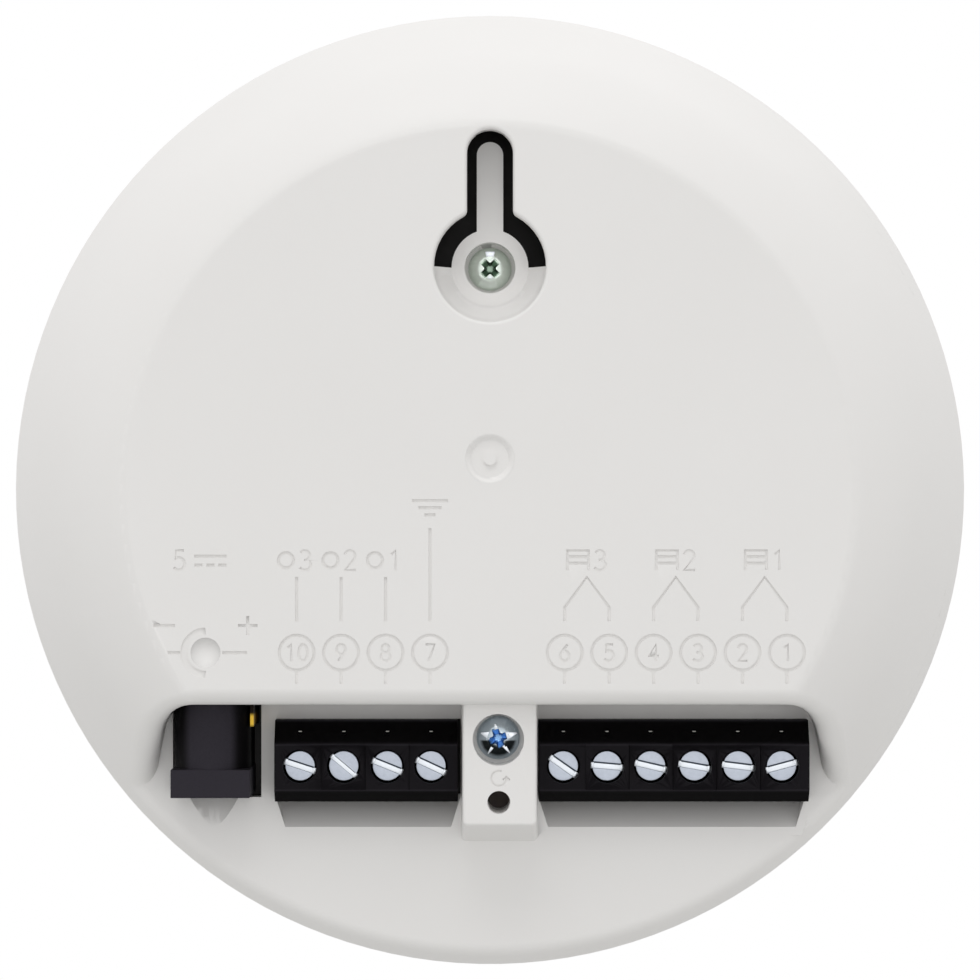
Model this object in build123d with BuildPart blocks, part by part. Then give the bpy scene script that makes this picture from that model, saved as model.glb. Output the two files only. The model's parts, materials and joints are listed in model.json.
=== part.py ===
from build123d import *

import os
from math import acos, cos, degrees, radians, sin, tan

os.makedirs("parts", exist_ok=True)

# Round garage door controller that hangs on a wall by a keyhole, in millimetres.
# +Z is up, the wall is the plane Y = 0 and the case reaches to +Y. X is to the right for
# someone who looks at the back of the case. The origin is the middle of the flat back face.
# A depth is a distance from the wall, and a drop is a distance below the middle of the case.

# Case
case_diameter = 110.0
case_thickness = 28.0
case_wall = 2.2
dome_width = 13.7
dome_cone_width = 5.0
dome_start_slope = 24.0
dome_end_slope = 52.0
crease_radius = 3.0
rim_height = 2.0
front_edge_radius = 7.0

# Joint between the two halves of the case
lip_height = 1.0
lip_wall = 1.2
lip_root_height = 1.6
lip_clearance = 0.1

# Recess for the wiring at the foot of the back
bay_drop = 24.25
bay_half_width = 36.8
bay_side_lean = 11.3
bay_corner_radius = 4.0
bay_mouth_radius = 1.9
bay_floor_depth = 11.1
floor_edge_inset = 2.6
floor_lip_inset = 0.9

# Post between the terminal blocks, with the lower case screw and the reset hole
post_x = 1.1
post_depth = 3.0
post_face_width = 8.4
post_foot_width = 9.0
post_face_drop = 38.0
post_foot_drop = 41.2
post_corner_radius = 0.6
post_edge_radius = 0.4

# Keyhole for the wall screw
keyhole_rise = 25.3
keyhole_radius = 6.32
keyhole_slot_width = 5.18
keyhole_slot_rise = 38.0
keyhole_neck_radius = 0.8
keyhole_edge_radius = 0.45
wall_screw_room = 2.8
guide_width = 3.0
guide_rise = 38.1
guide_height = 2.6
keyhole_slope_wall = 1.3
keyhole_boss_radius = 4.38

# Mould gate dimple
dimple_rise = 3.5
dimple_radius = 2.83
dimple_floor_radius = 2.1
dimple_depth = 0.6
dimple_nub_radius = 0.7
dimple_nub_height = 0.35

# Case screws
screw_head_diameter = 5.0
screw_head_height = 1.8
screw_thread_diameter = 2.6
screw_length = 14.0
screw_recess_width = 0.9
screw_recess_span = 2.9
screw_recess_depth = 1.1
screw_hole_clearance = 0.2
screw_head_clearance = 0.4
screw_pilot_clearance = 0.03
screw_pilot_end_gap = 0.5
screw_tip_chamfer = 0.5
upper_screw_sink = 1.2
lower_screw_sink = 2.2
lower_screw_x = 0.95
lower_screw_drop = 28.3
boss_wall = 1.2
front_boss_wall = 1.9

# Circuit board
board_depth = 16.0
board_thickness = 1.6
board_edge_gap = 3.8
board_hole_clearance = 0.3
board_notch_radius = 1.6
standoff_radius = 2.0
standoff_inset = 5.0
pin_stub = 1.0
pin_clearance = 0.12

# Terminal blocks, shared by both
terminal_pitch = 5.0
block_height = 9.5
block_back_drop = 26.8
block_shoulder_drop = 29.1
block_lip_drop = 34.3
block_front_drop = 35.0
block_shoulder_fall = 1.9
block_lip_fall = 1.1
terminal_screw_drop = 31.6
terminal_head_radius = 1.68
terminal_head_height = 1.05
terminal_head_sink = 1.2
terminal_shaft_radius = 1.25
terminal_slot_width = 0.6
terminal_slot_depth = 0.6
terminal_head_chamfer = 0.12
well_clearance = 0.25
ledge_thickness = 0.6
shaft_clearance = 0.08
cage_width = 3.7
cage_length = 3.4
cage_window_width = 2.6
cage_top_wall = 1.2
cage_bottom_wall = 0.8
cage_travel = 1.8
cage_rise_room = 0.15
cage_side_clearance = 0.15
contact_width = 2.2
contact_thickness = 0.5
contact_clearance = 0.05
contact_pin_width = 0.9
wire_entry_width = 3.2
wire_entry_chamfer = 0.35

# The two terminal blocks
sensor_ways = 4
opener_ways = 6
sensor_post_gap = 0.85
opener_post_gap = 0.3
block_end_gap = 0.5
window_gap = 0.4
ramp_drop = 38.9
ramp_depth = 14.8
ramp_wall = 1.0
ramp_taper = 1.4

# Angles of the screw slots as they were left, from terminal 10 to terminal 7 and from 6 to 1
sensor_slot_angles = (-18, -40, -22, -25)
opener_slot_angles = (-35, -5, -13, -10, -7, 15)

# Power socket
jack_x = -31.85
jack_width = 9.0
jack_height = 11.3
jack_axis_height = 6.8
jack_length = 14.2
jack_front_drop = 35.05
jack_flange_length = 3.2
jack_body_inset = 0.1
jack_bore_radius = 3.15
jack_bore_length = 9.2
jack_pin_radius = 1.05
jack_pin_recess = 0.8
jack_pin_shank_radius = 1.3
jack_pin_tip_radius = 0.5
jack_wall_gap = 0.25
jack_contact_gap = 0.95
jack_notch_gap = 0.3
jack_tab_width = 2.4
jack_tab_thickness = 0.4
side_contact_drop = 25.8
side_contact_length = 2.6
side_contact_height = 8.6
sleeve_contact_front_gap = 1.5
scoop_radius = 3.6
scoop_end_radius = 1.5
scoop_length = 4.6
scoop_wall = 1.1

# Reset switch under its hole in the post
reset_x = 1.0
reset_drop = 35.4
reset_hole_radius = 1.3
reset_tube_wall = 0.9
reset_tube_length = 1.5
reset_tube_gap = 0.6
switch_width = 6.0
switch_height = 3.4
switch_plate_thickness = 0.2
switch_pocket_gap = 0.35
switch_cavity_depth = 2.0
button_radius = 1.7
button_rise = 1.2
button_travel = 0.25
button_flange_radius = 2.2
button_flange_height = 0.5
button_tail_radius = 1.2
button_edge_radius = 0.3
switch_dome_thickness = 0.15
switch_dome_radius = 2.0
button_clearance = 0.06
switch_leg_width = 0.7
switch_leg_thickness = 0.3
switch_leg_height = 1.6
switch_leg_spread = 4.5

# Relays, one for each door
relay_width = 7.6
relay_length = 15.0
relay_height = 10.0
relay_drop = 12.0
relay_first_x = 12.0
relay_pitch = 10.5
relay_base_height = 1.2
relay_edge_radius = 0.5

# Radio module
radio_x = -22.0
radio_rise = 14.0
radio_width = 18.0
radio_length = 25.5
radio_board_thickness = 0.8
shield_width = 15.8
shield_length = 17.6
shield_height = 2.3
shield_edge_radius = 0.4
antenna_margin = 0.9

# Other components on the board
processor_x = 22.0
processor_rise = 18.0
processor_width = 10.0
processor_height = 1.4
processor_chamfer = 0.25
crystal_rise = 29.0
crystal_width = 11.0
crystal_length = 4.6
crystal_height = 3.5
large_capacitor_x = -38.0
large_capacitor_drop = 6.0
large_capacitor_radius = 4.0
large_capacitor_height = 9.0
small_capacitor_x = -27.5
small_capacitor_drop = 9.0
small_capacitor_radius = 3.15
small_capacitor_height = 7.0
capacitor_edge_radius = 0.5
inductor_x = -18.0
inductor_drop = 11.5
inductor_width = 7.0
inductor_height = 4.0
inductor_chamfer = 0.8
regulator_x = -18.0
regulator_drop = 3.6
regulator_width = 6.5
regulator_length = 3.5
regulator_height = 1.6
buzzer_x = 36.0
buzzer_rise = 12.0
buzzer_radius = 6.0
buzzer_height = 8.5
buzzer_hole_radius = 1.0
buzzer_edge_radius = 0.6
optocoupler_first_x = -11.0
optocoupler_pitch = 6.5
optocoupler_drop = 12.0
optocoupler_width = 4.6
optocoupler_length = 6.5
optocoupler_height = 3.5

# Status light on the front
lamp_rise = 40.0
lamp_width = 3.2
lamp_height = 0.9
pipe_radius = 1.5
pipe_flange_radius = 2.4
pipe_flange_height = 0.8
pipe_clearance = 0.06
pipe_lamp_gap = 0.3

# How far a cut runs past what it cuts, and how near counts as touching
overrun = 1.0
tolerance = 0.01

# Places worked out from the sizes above
case_radius = case_diameter / 2
flat_radius = case_radius - dome_width
break_radius = case_radius - dome_cone_width
slope_sine_span = sin(radians(dome_end_slope)) - sin(radians(dome_start_slope))
dome_radius = (break_radius - flat_radius) / slope_sine_span
break_depth = dome_radius * (cos(radians(dome_start_slope)) - cos(radians(dome_end_slope)))
cone_rate = tan(radians(dome_end_slope))
dome_depth = break_depth + (case_radius - break_radius) * cone_rate
seam_depth = dome_depth + rim_height
inner_radius = case_radius - case_wall
lip_radius = inner_radius - lip_clearance

board_radius = inner_radius - board_edge_gap
board_back = board_depth + board_thickness
pin_end_depth = board_back + pin_stub
floor_under = bay_floor_depth + case_wall
plateau_depth = case_wall + wall_screw_room
block_top_depth = board_depth - block_height
jack_top_depth = board_depth - jack_height
jack_axis_depth = board_depth - jack_axis_height
jack_back_drop = jack_front_drop - jack_length

sensor_width = sensor_ways * terminal_pitch
opener_width = opener_ways * terminal_pitch
sensor_x = post_x - post_foot_width / 2 - sensor_post_gap - sensor_width / 2
opener_x = post_x + post_foot_width / 2 + opener_post_gap + opener_width / 2
window_rise = block_back_drop - window_gap
window_drop = block_front_drop + window_gap

screw_radius = screw_thread_diameter / 2
head_radius = screw_head_diameter / 2
counterbore_radius = head_radius + screw_head_clearance
upper_seat_depth = plateau_depth + upper_screw_sink + screw_head_height
lower_seat_depth = post_depth + lower_screw_sink + screw_head_height
case_screws = (
    ("upper_case_screw", 0, keyhole_rise, upper_seat_depth, 45),
    ("lower_case_screw", lower_screw_x, -lower_screw_drop, lower_seat_depth, 20),
)


def at_depth(depth):
    """Plane parallel to the wall, whose extrusions go deeper by a negative amount."""
    return Plane.XZ.offset(-depth)


def half_plan(rise):
    """Plane through the upright Z = rise, where the second coordinate is the depth."""
    return Plane.XY.offset(rise)


def dome_profile(inset, foot_depth):
    """Half section of the back with its flat, arc and cone, all moved inwards by the inset."""
    start_cosine = (dome_radius * cos(radians(dome_start_slope)) - inset) / (dome_radius - inset)
    start = degrees(acos(start_cosine))
    arc_x = flat_radius - dome_radius * sin(radians(dome_start_slope))
    arc_depth = dome_radius * cos(radians(dome_start_slope))
    side = case_radius - inset
    with BuildSketch(Plane.XY) as profile:
        with BuildLine():
            turn = CenterArc((arc_x, arc_depth), dome_radius - inset, start - 90, dome_end_slope - start)
            end = turn @ 1
            edge_depth = end.Y + (side - end.X) * cone_rate
            Polyline(turn @ 0, (0, inset), (0, foot_depth), (side, foot_depth), (side, edge_depth), end)
        make_face()
        fillet(profile.vertices().sort_by_distance(turn @ 0)[0], crease_radius)
    return profile.sketch


def front_profile(inset):
    """Half section of the front with its straight side, round edge and flat face."""
    side = case_radius - inset
    face = case_thickness - inset
    with BuildSketch(Plane.XY) as profile:
        with BuildLine():
            Polyline((0, face), (0, seam_depth), (side, seam_depth), (side, face), close=True)
        make_face()
        fillet(profile.vertices().sort_by_distance((side, face))[0], front_edge_radius - inset)
    return profile.sketch


# Plan of the recess: straight top, round corners and sides that lean outwards
bay_foot = case_radius + overrun
bay_foot_reach = bay_half_width + (bay_foot - bay_drop) * tan(radians(bay_side_lean))
with BuildSketch() as bay_plan:
    with BuildLine():
        FilletPolyline(
            (-bay_foot_reach, -bay_foot),
            (-bay_half_width, -bay_drop),
            (bay_half_width, -bay_drop),
            (bay_foot_reach, -bay_foot),
            radius=bay_corner_radius,
        )
        Line((bay_foot_reach, -bay_foot), (-bay_foot_reach, -bay_foot))
    make_face()

with BuildSketch() as bay_wall_plan:
    add(bay_plan.sketch)
    offset(amount=case_wall)

# Windows in the floor of the recess: left side, right side, upper and lower edge of each
jack_window = (
    jack_x - jack_width / 2 - jack_wall_gap,
    jack_x + jack_width / 2 + jack_contact_gap,
    bay_drop,
    jack_front_drop + window_gap,
)
sensor_window = (
    sensor_x - sensor_width / 2 - block_end_gap,
    post_x - post_foot_width / 2,
    window_rise,
    window_drop,
)
opener_window = (
    post_x + post_foot_width / 2,
    opener_x + opener_width / 2 + block_end_gap,
    window_rise,
    window_drop,
)

with BuildSketch() as opening_plan:
    for left, right, upper, lower in (jack_window, sensor_window, opener_window):
        with Locations(((left + right) / 2, -(upper + lower) / 2)):
            Rectangle(right - left, lower - upper)

# Space inside the back cover: the dome's inner surface without the walls and floor of the recess
with BuildPart() as hollow:
    revolve(dome_profile(case_wall, seam_depth + overrun), axis=Axis.Y)
    with BuildSketch(at_depth(-overrun)):
        add(bay_wall_plan.sketch)
    extrude(amount=-(floor_under + overrun), mode=Mode.SUBTRACT)


def ramp_block(window, wall):
    """Slope from the floor of the recess down to the wire entries, or the thicker floor under it."""
    left, right, _, lower = window
    rate = (ramp_depth - bay_floor_depth) / (ramp_drop - lower)
    top_depth = bay_floor_depth if wall else bay_floor_depth - overrun
    reach = ramp_drop + (bay_floor_depth - top_depth + wall) / rate
    with BuildPart() as block:
        with BuildSketch(at_depth(top_depth)):
            with BuildLine():
                Polyline(
                    (left - wall, -lower),
                    (right + wall, -lower),
                    (right + wall - ramp_taper, -reach),
                    (left - wall + ramp_taper, -reach),
                    close=True,
                )
            make_face()
        extrude(amount=-(ramp_depth + wall - top_depth))
        with BuildSketch(Plane.YZ.offset(left - wall)):
            with BuildLine():
                Polyline((top_depth, -lower), (ramp_depth + wall, -lower), (top_depth, -reach), close=True)
            make_face()
        extrude(amount=right - left + 2 * wall, mode=Mode.INTERSECT)
    return block.part


def scoop_cone(wall):
    """Cone round the axis of the power socket that gives the plug room, or the floor under it."""
    with BuildPart() as cone:
        with BuildSketch(half_plan(-jack_front_drop)):
            with Locations((jack_x, jack_axis_depth)):
                Circle(scoop_radius + wall)
        with BuildSketch(half_plan(-jack_front_drop - scoop_length)):
            with Locations((jack_x, jack_axis_depth)):
                Circle(scoop_end_radius + wall)
        loft()
        if wall:
            with BuildSketch(at_depth(bay_floor_depth)):
                with Locations((jack_x, -jack_front_drop)):
                    Rectangle(4 * scoop_radius, 4 * scoop_length)
            extrude(amount=jack_height, mode=Mode.SUBTRACT)
            with BuildSketch(at_depth(bay_floor_depth)):
                with Locations((jack_x, -window_drop + scoop_length)):
                    Rectangle(4 * scoop_radius, 2 * scoop_length)
            extrude(amount=-jack_height, mode=Mode.SUBTRACT)
    return cone.part


# Post between the blocks: drafted sides, a sloped foot and a pocket for the reset switch
post_top_rise = -(bay_drop + case_wall / 2)
with BuildPart() as post_block:
    for depth, width, drop in (
        (post_depth, post_face_width, post_face_drop),
        (floor_under, post_foot_width, post_foot_drop),
    ):
        with BuildSketch(at_depth(depth)):
            with Locations((post_x, (post_top_rise - drop) / 2)):
                RectangleRounded(width, drop + post_top_rise, post_corner_radius)
    loft()
    fillet(post_block.edges().group_by(Axis.Y)[0], post_edge_radius)

# Plan of the keyhole, with the neck between its round entry and its slot rounded off
with BuildSketch() as keyhole_plan:
    with Locations((0, keyhole_rise)):
        Circle(keyhole_radius)
    with Locations((0, (keyhole_rise + keyhole_slot_rise) / 2)):
        Rectangle(keyhole_slot_width, keyhole_slot_rise - keyhole_rise)
    with Locations((0, keyhole_slot_rise)):
        Circle(keyhole_slot_width / 2)
    neck_rise = keyhole_rise + (keyhole_radius**2 - (keyhole_slot_width / 2) ** 2) ** 0.5
    neck = keyhole_plan.vertices().filter_by(lambda v: abs(v.Y - neck_rise) < tolerance)
    fillet(neck, keyhole_neck_radius)

with BuildPart() as back_cover:
    # The recess is cut right through first, so that one fillet runs round its whole mouth
    revolve(dome_profile(0, seam_depth), axis=Axis.Y)
    with BuildSketch(at_depth(-overrun)):
        add(bay_plan.sketch)
    extrude(amount=-(seam_depth + 2 * overrun), mode=Mode.SUBTRACT)
    mouth = back_cover.edges().filter_by(
        lambda edge: edge.bounding_box().max.Z < tolerance - bay_drop
        and edge.bounding_box().max.Y < dome_depth + tolerance
    )
    fillet(mouth, bay_mouth_radius)

    # Floor of the recess, which runs on to a soft lip at the rim
    with BuildSketch(Plane.XY):
        with BuildLine():
            lip_reach = case_radius - floor_lip_inset
            flat = Line((0, bay_floor_depth), (case_radius - floor_edge_inset, bay_floor_depth))
            lip = TangentArc(
                flat @ 1, (lip_reach, dome_depth - floor_lip_inset * cone_rate), tangent=(1, 0)
            )
            Polyline(
                lip @ 1, (case_radius, dome_depth), (case_radius, seam_depth), (0, seam_depth), flat @ 0
            )
        make_face()
    revolve(axis=Axis.Y)

    # Inside of the shell
    add(hollow.part, mode=Mode.SUBTRACT)

    # Post, and the thicker floor under the ramps and the plug scoop
    add(post_block.part)
    for window in (sensor_window, opener_window):
        add(ramp_block(window, ramp_wall))
    add(scoop_cone(scoop_wall))

    # Openings for the socket and the terminal blocks, cut round the post
    with BuildSketch(at_depth(bay_floor_depth - overrun)):
        add(opening_plan.sketch)
        with Locations((post_x, (post_top_rise - post_foot_drop) / 2)):
            Rectangle(post_foot_width, post_foot_drop + post_top_rise, mode=Mode.SUBTRACT)
    extrude(amount=-(seam_depth - bay_floor_depth + 2 * overrun), mode=Mode.SUBTRACT)
    for window in (sensor_window, opener_window):
        add(ramp_block(window, 0), mode=Mode.SUBTRACT)
    add(scoop_cone(0), mode=Mode.SUBTRACT)

    # Notch in the top wall of the recess, where the socket's body passes under it
    with BuildSketch(at_depth(jack_top_depth - jack_notch_gap)):
        with Locations(((jack_window[0] + jack_window[1]) / 2, -bay_drop)):
            Rectangle(jack_window[1] - jack_window[0], 4 * case_wall)
    extrude(amount=-(seam_depth - jack_top_depth), mode=Mode.SUBTRACT)

    # Pocket in the post round the reset switch, and the tube that leads to its button
    button_top_depth = board_depth - switch_height - button_rise
    pocket_depth = button_top_depth - reset_tube_gap - reset_tube_length
    pocket_width = switch_width + 2 * switch_pocket_gap + 2 * switch_leg_thickness
    with BuildSketch(at_depth(pocket_depth)):
        with Locations((reset_x, -reset_drop)):
            Rectangle(pocket_width, switch_width + 2 * switch_pocket_gap)
    extrude(amount=-(seam_depth - pocket_depth), mode=Mode.SUBTRACT)
    with BuildSketch(at_depth(pocket_depth)):
        with Locations((reset_x, -reset_drop)):
            Circle(reset_hole_radius + reset_tube_wall)
    extrude(amount=-reset_tube_length)
    with BuildSketch(at_depth(post_depth - overrun)):
        with Locations((reset_x, -reset_drop)):
            Circle(reset_hole_radius)
    extrude(amount=-(button_top_depth - post_depth), mode=Mode.SUBTRACT)

    # Keyhole in the flat back
    with BuildSketch(at_depth(-overrun)):
        add(keyhole_plan.sketch)
    extrude(amount=-(case_wall + 2 * overrun), mode=Mode.SUBTRACT)
    rim = back_cover.edges().filter_by(
        lambda edge: edge.bounding_box().max.Y < tolerance and edge.center().Z > dimple_rise
        and edge.bounding_box().max.X < keyhole_radius + tolerance
    )
    fillet(rim, keyhole_edge_radius)

    # Screw boss behind the keyhole, its guide for the wall screw's head and its sloped skirt
    with BuildSketch(at_depth(plateau_depth)):
        with Locations((0, keyhole_rise)):
            Circle(keyhole_boss_radius)
    extrude(amount=-(board_depth - plateau_depth))
    with BuildSketch(at_depth(plateau_depth)):
        with Locations((0, (keyhole_rise + guide_rise) / 2)):
            Rectangle(guide_width, guide_rise - keyhole_rise)
        with Locations((0, guide_rise)):
            Circle(guide_width / 2)
    extrude(amount=-guide_height)
    with BuildSketch(half_plan(keyhole_rise)):
        with BuildLine():
            Polyline(
                (keyhole_radius, case_wall),
                (keyhole_boss_radius, plateau_depth),
                (keyhole_boss_radius - keyhole_slope_wall, plateau_depth),
                (keyhole_boss_radius - keyhole_slope_wall, plateau_depth + 2 * keyhole_slope_wall),
                (keyhole_boss_radius, plateau_depth + 2 * keyhole_slope_wall),
                (keyhole_radius + keyhole_slope_wall, case_wall),
                (keyhole_radius + keyhole_slope_wall, case_wall / 2),
                close=True,
            )
        make_face()
    keyhole_axis = Axis((0, 0, keyhole_rise), (0, 1, 0))
    revolve(axis=keyhole_axis, revolution_arc=180)

    # Boss of the lower screw, then both screw holes with their counterbores
    with BuildSketch(at_depth(floor_under - overrun)):
        with Locations((lower_screw_x, -lower_screw_drop)):
            Circle(counterbore_radius + boss_wall)
    extrude(amount=-(board_depth - floor_under + overrun))
    for name, x, rise, seat_depth, angle in case_screws:
        with BuildSketch(at_depth(0)):
            with Locations((x, rise)):
                Circle(counterbore_radius)
        extrude(amount=-seat_depth, mode=Mode.SUBTRACT)
        with BuildSketch(at_depth(seat_depth)):
            with Locations((x, rise)):
                Circle(screw_radius + screw_hole_clearance)
        extrude(amount=-(board_depth - seat_depth + overrun), mode=Mode.SUBTRACT)

    # Dimple of the mould gate
    with BuildSketch(half_plan(dimple_rise)):
        with BuildLine():
            Polyline(
                (0, -overrun),
                (dimple_radius, -overrun),
                (dimple_radius, 0),
                (dimple_floor_radius, dimple_depth),
                (dimple_nub_radius, dimple_depth),
                (dimple_nub_radius, dimple_depth - dimple_nub_height),
                (0, dimple_depth - dimple_nub_height),
                close=True,
            )
        make_face()
    revolve(axis=Axis((0, 0, dimple_rise), (0, 1, 0)), mode=Mode.SUBTRACT)

    # Step at the rim that takes the lip of the front cover
    with BuildSketch(at_depth(seam_depth + overrun)):
        Circle(lip_radius + lip_clearance)
        Circle(lip_radius - lip_wall - lip_clearance, mode=Mode.SUBTRACT)
    extrude(amount=lip_height + lip_clearance + overrun, mode=Mode.SUBTRACT)
back_cover.part.label = "back_cover"
export_step(back_cover.part, "parts/back_cover.step")

with BuildPart() as front_cover:
    revolve(front_profile(0), axis=Axis.Y)
    revolve(front_profile(case_wall), axis=Axis.Y, mode=Mode.SUBTRACT)

    # Lip that registers in the back cover
    with BuildSketch(Plane.XY):
        with BuildLine():
            Polyline(
                (lip_radius - lip_wall, seam_depth - lip_height),
                (lip_radius, seam_depth - lip_height),
                (lip_radius, seam_depth),
                (inner_radius + case_wall / 2, seam_depth),
                (inner_radius + case_wall / 2, seam_depth + lip_root_height),
                (lip_radius - lip_wall, seam_depth + lip_root_height),
                close=True,
            )
        make_face()
    revolve(axis=Axis.Y)

    # Bosses for the case screws and standoffs under the board
    front_root_depth = case_thickness - case_wall / 2
    with BuildSketch(at_depth(board_back)):
        for name, x, rise, seat_depth, angle in case_screws:
            with Locations((x, rise)):
                Circle(screw_radius + front_boss_wall)
        with PolarLocations(board_radius - standoff_inset, 4, start_angle=45):
            Circle(standoff_radius)
    extrude(amount=-(front_root_depth - board_back))
    for name, x, rise, seat_depth, angle in case_screws:
        with BuildSketch(at_depth(board_back)):
            with Locations((x, rise)):
                Circle(screw_radius + screw_pilot_clearance)
        extrude(amount=-(seat_depth + screw_length + screw_pilot_end_gap - board_back), mode=Mode.SUBTRACT)

    # Ribs that hold the board from turning
    with BuildSketch(at_depth(board_depth)):
        for side in (-1, 1):
            with Locations((side * board_radius, 0)):
                Circle(board_notch_radius - board_hole_clearance)
    extrude(amount=-(front_root_depth - case_wall / 2 - board_depth))

    # Hole for the light pipe
    with BuildSketch(at_depth(board_back)):
        with Locations((0, lamp_rise)):
            Circle(pipe_radius + pipe_clearance)
    extrude(amount=-case_thickness, mode=Mode.SUBTRACT)
front_cover.part.label = "front_cover"
export_step(front_cover.part, "parts/front_cover.step")

# Screws that hold the two halves of the case and the board together
for name, x, rise, seat_depth, angle in case_screws:
    with BuildPart() as case_screw:
        with BuildSketch(at_depth(seat_depth - screw_head_height)):
            with Locations((x, rise)):
                Circle(head_radius)
        extrude(amount=-screw_head_height)
        fillet(case_screw.edges().group_by(Axis.Y)[0], screw_head_height / 2)
        with BuildSketch(at_depth(seat_depth)):
            with Locations((x, rise)):
                Circle(screw_radius)
        extrude(amount=-screw_length)
        chamfer(case_screw.edges().group_by(Axis.Y)[-1], screw_tip_chamfer)
        with BuildSketch(at_depth(seat_depth - screw_head_height)):
            with Locations(Location((x, rise), angle)):
                Rectangle(screw_recess_span, screw_recess_width)
                Rectangle(screw_recess_width, screw_recess_span)
        extrude(amount=-screw_recess_depth, mode=Mode.SUBTRACT)
    case_screw.part.label = name
    export_step(case_screw.part, f"parts/{name}.step")

# Heights inside a terminal: head, ledge, chamber, cage and the contact strip through its window
head_top_depth = block_top_depth + terminal_head_sink
ledge_depth = head_top_depth + terminal_head_height
chamber_depth = ledge_depth + ledge_thickness
cage_depth = chamber_depth + cage_rise_room + cage_travel
cage_window_depth = cage_depth + cage_top_wall
cage_window_height = 2 * contact_clearance + contact_thickness + cage_travel
cage_height = cage_top_wall + cage_window_height + cage_bottom_wall
contact_depth = cage_window_depth + contact_clearance
wire_entry_depth = contact_depth + contact_thickness
chamber_front_drop = terminal_screw_drop + cage_length / 2 + cage_side_clearance
contact_leg_drop = terminal_screw_drop - cage_length / 2 - 2 * cage_side_clearance - contact_thickness / 2
chamber_back_drop = contact_leg_drop - contact_thickness / 2

# Holes in the board as centre and size, filled in by the parts whose pins go through it
board_holes = []


def terminal_places(centre_x, ways):
    """Middles of the ways of a block, from left to right."""
    return [centre_x + (way - (ways - 1) / 2) * terminal_pitch for way in range(ways)]


terminal_blocks = (
    ("sensor", terminal_places(sensor_x, sensor_ways), sensor_slot_angles, sensor_ways + opener_ways),
    ("opener", terminal_places(opener_x, opener_ways), opener_slot_angles, opener_ways),
)

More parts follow.
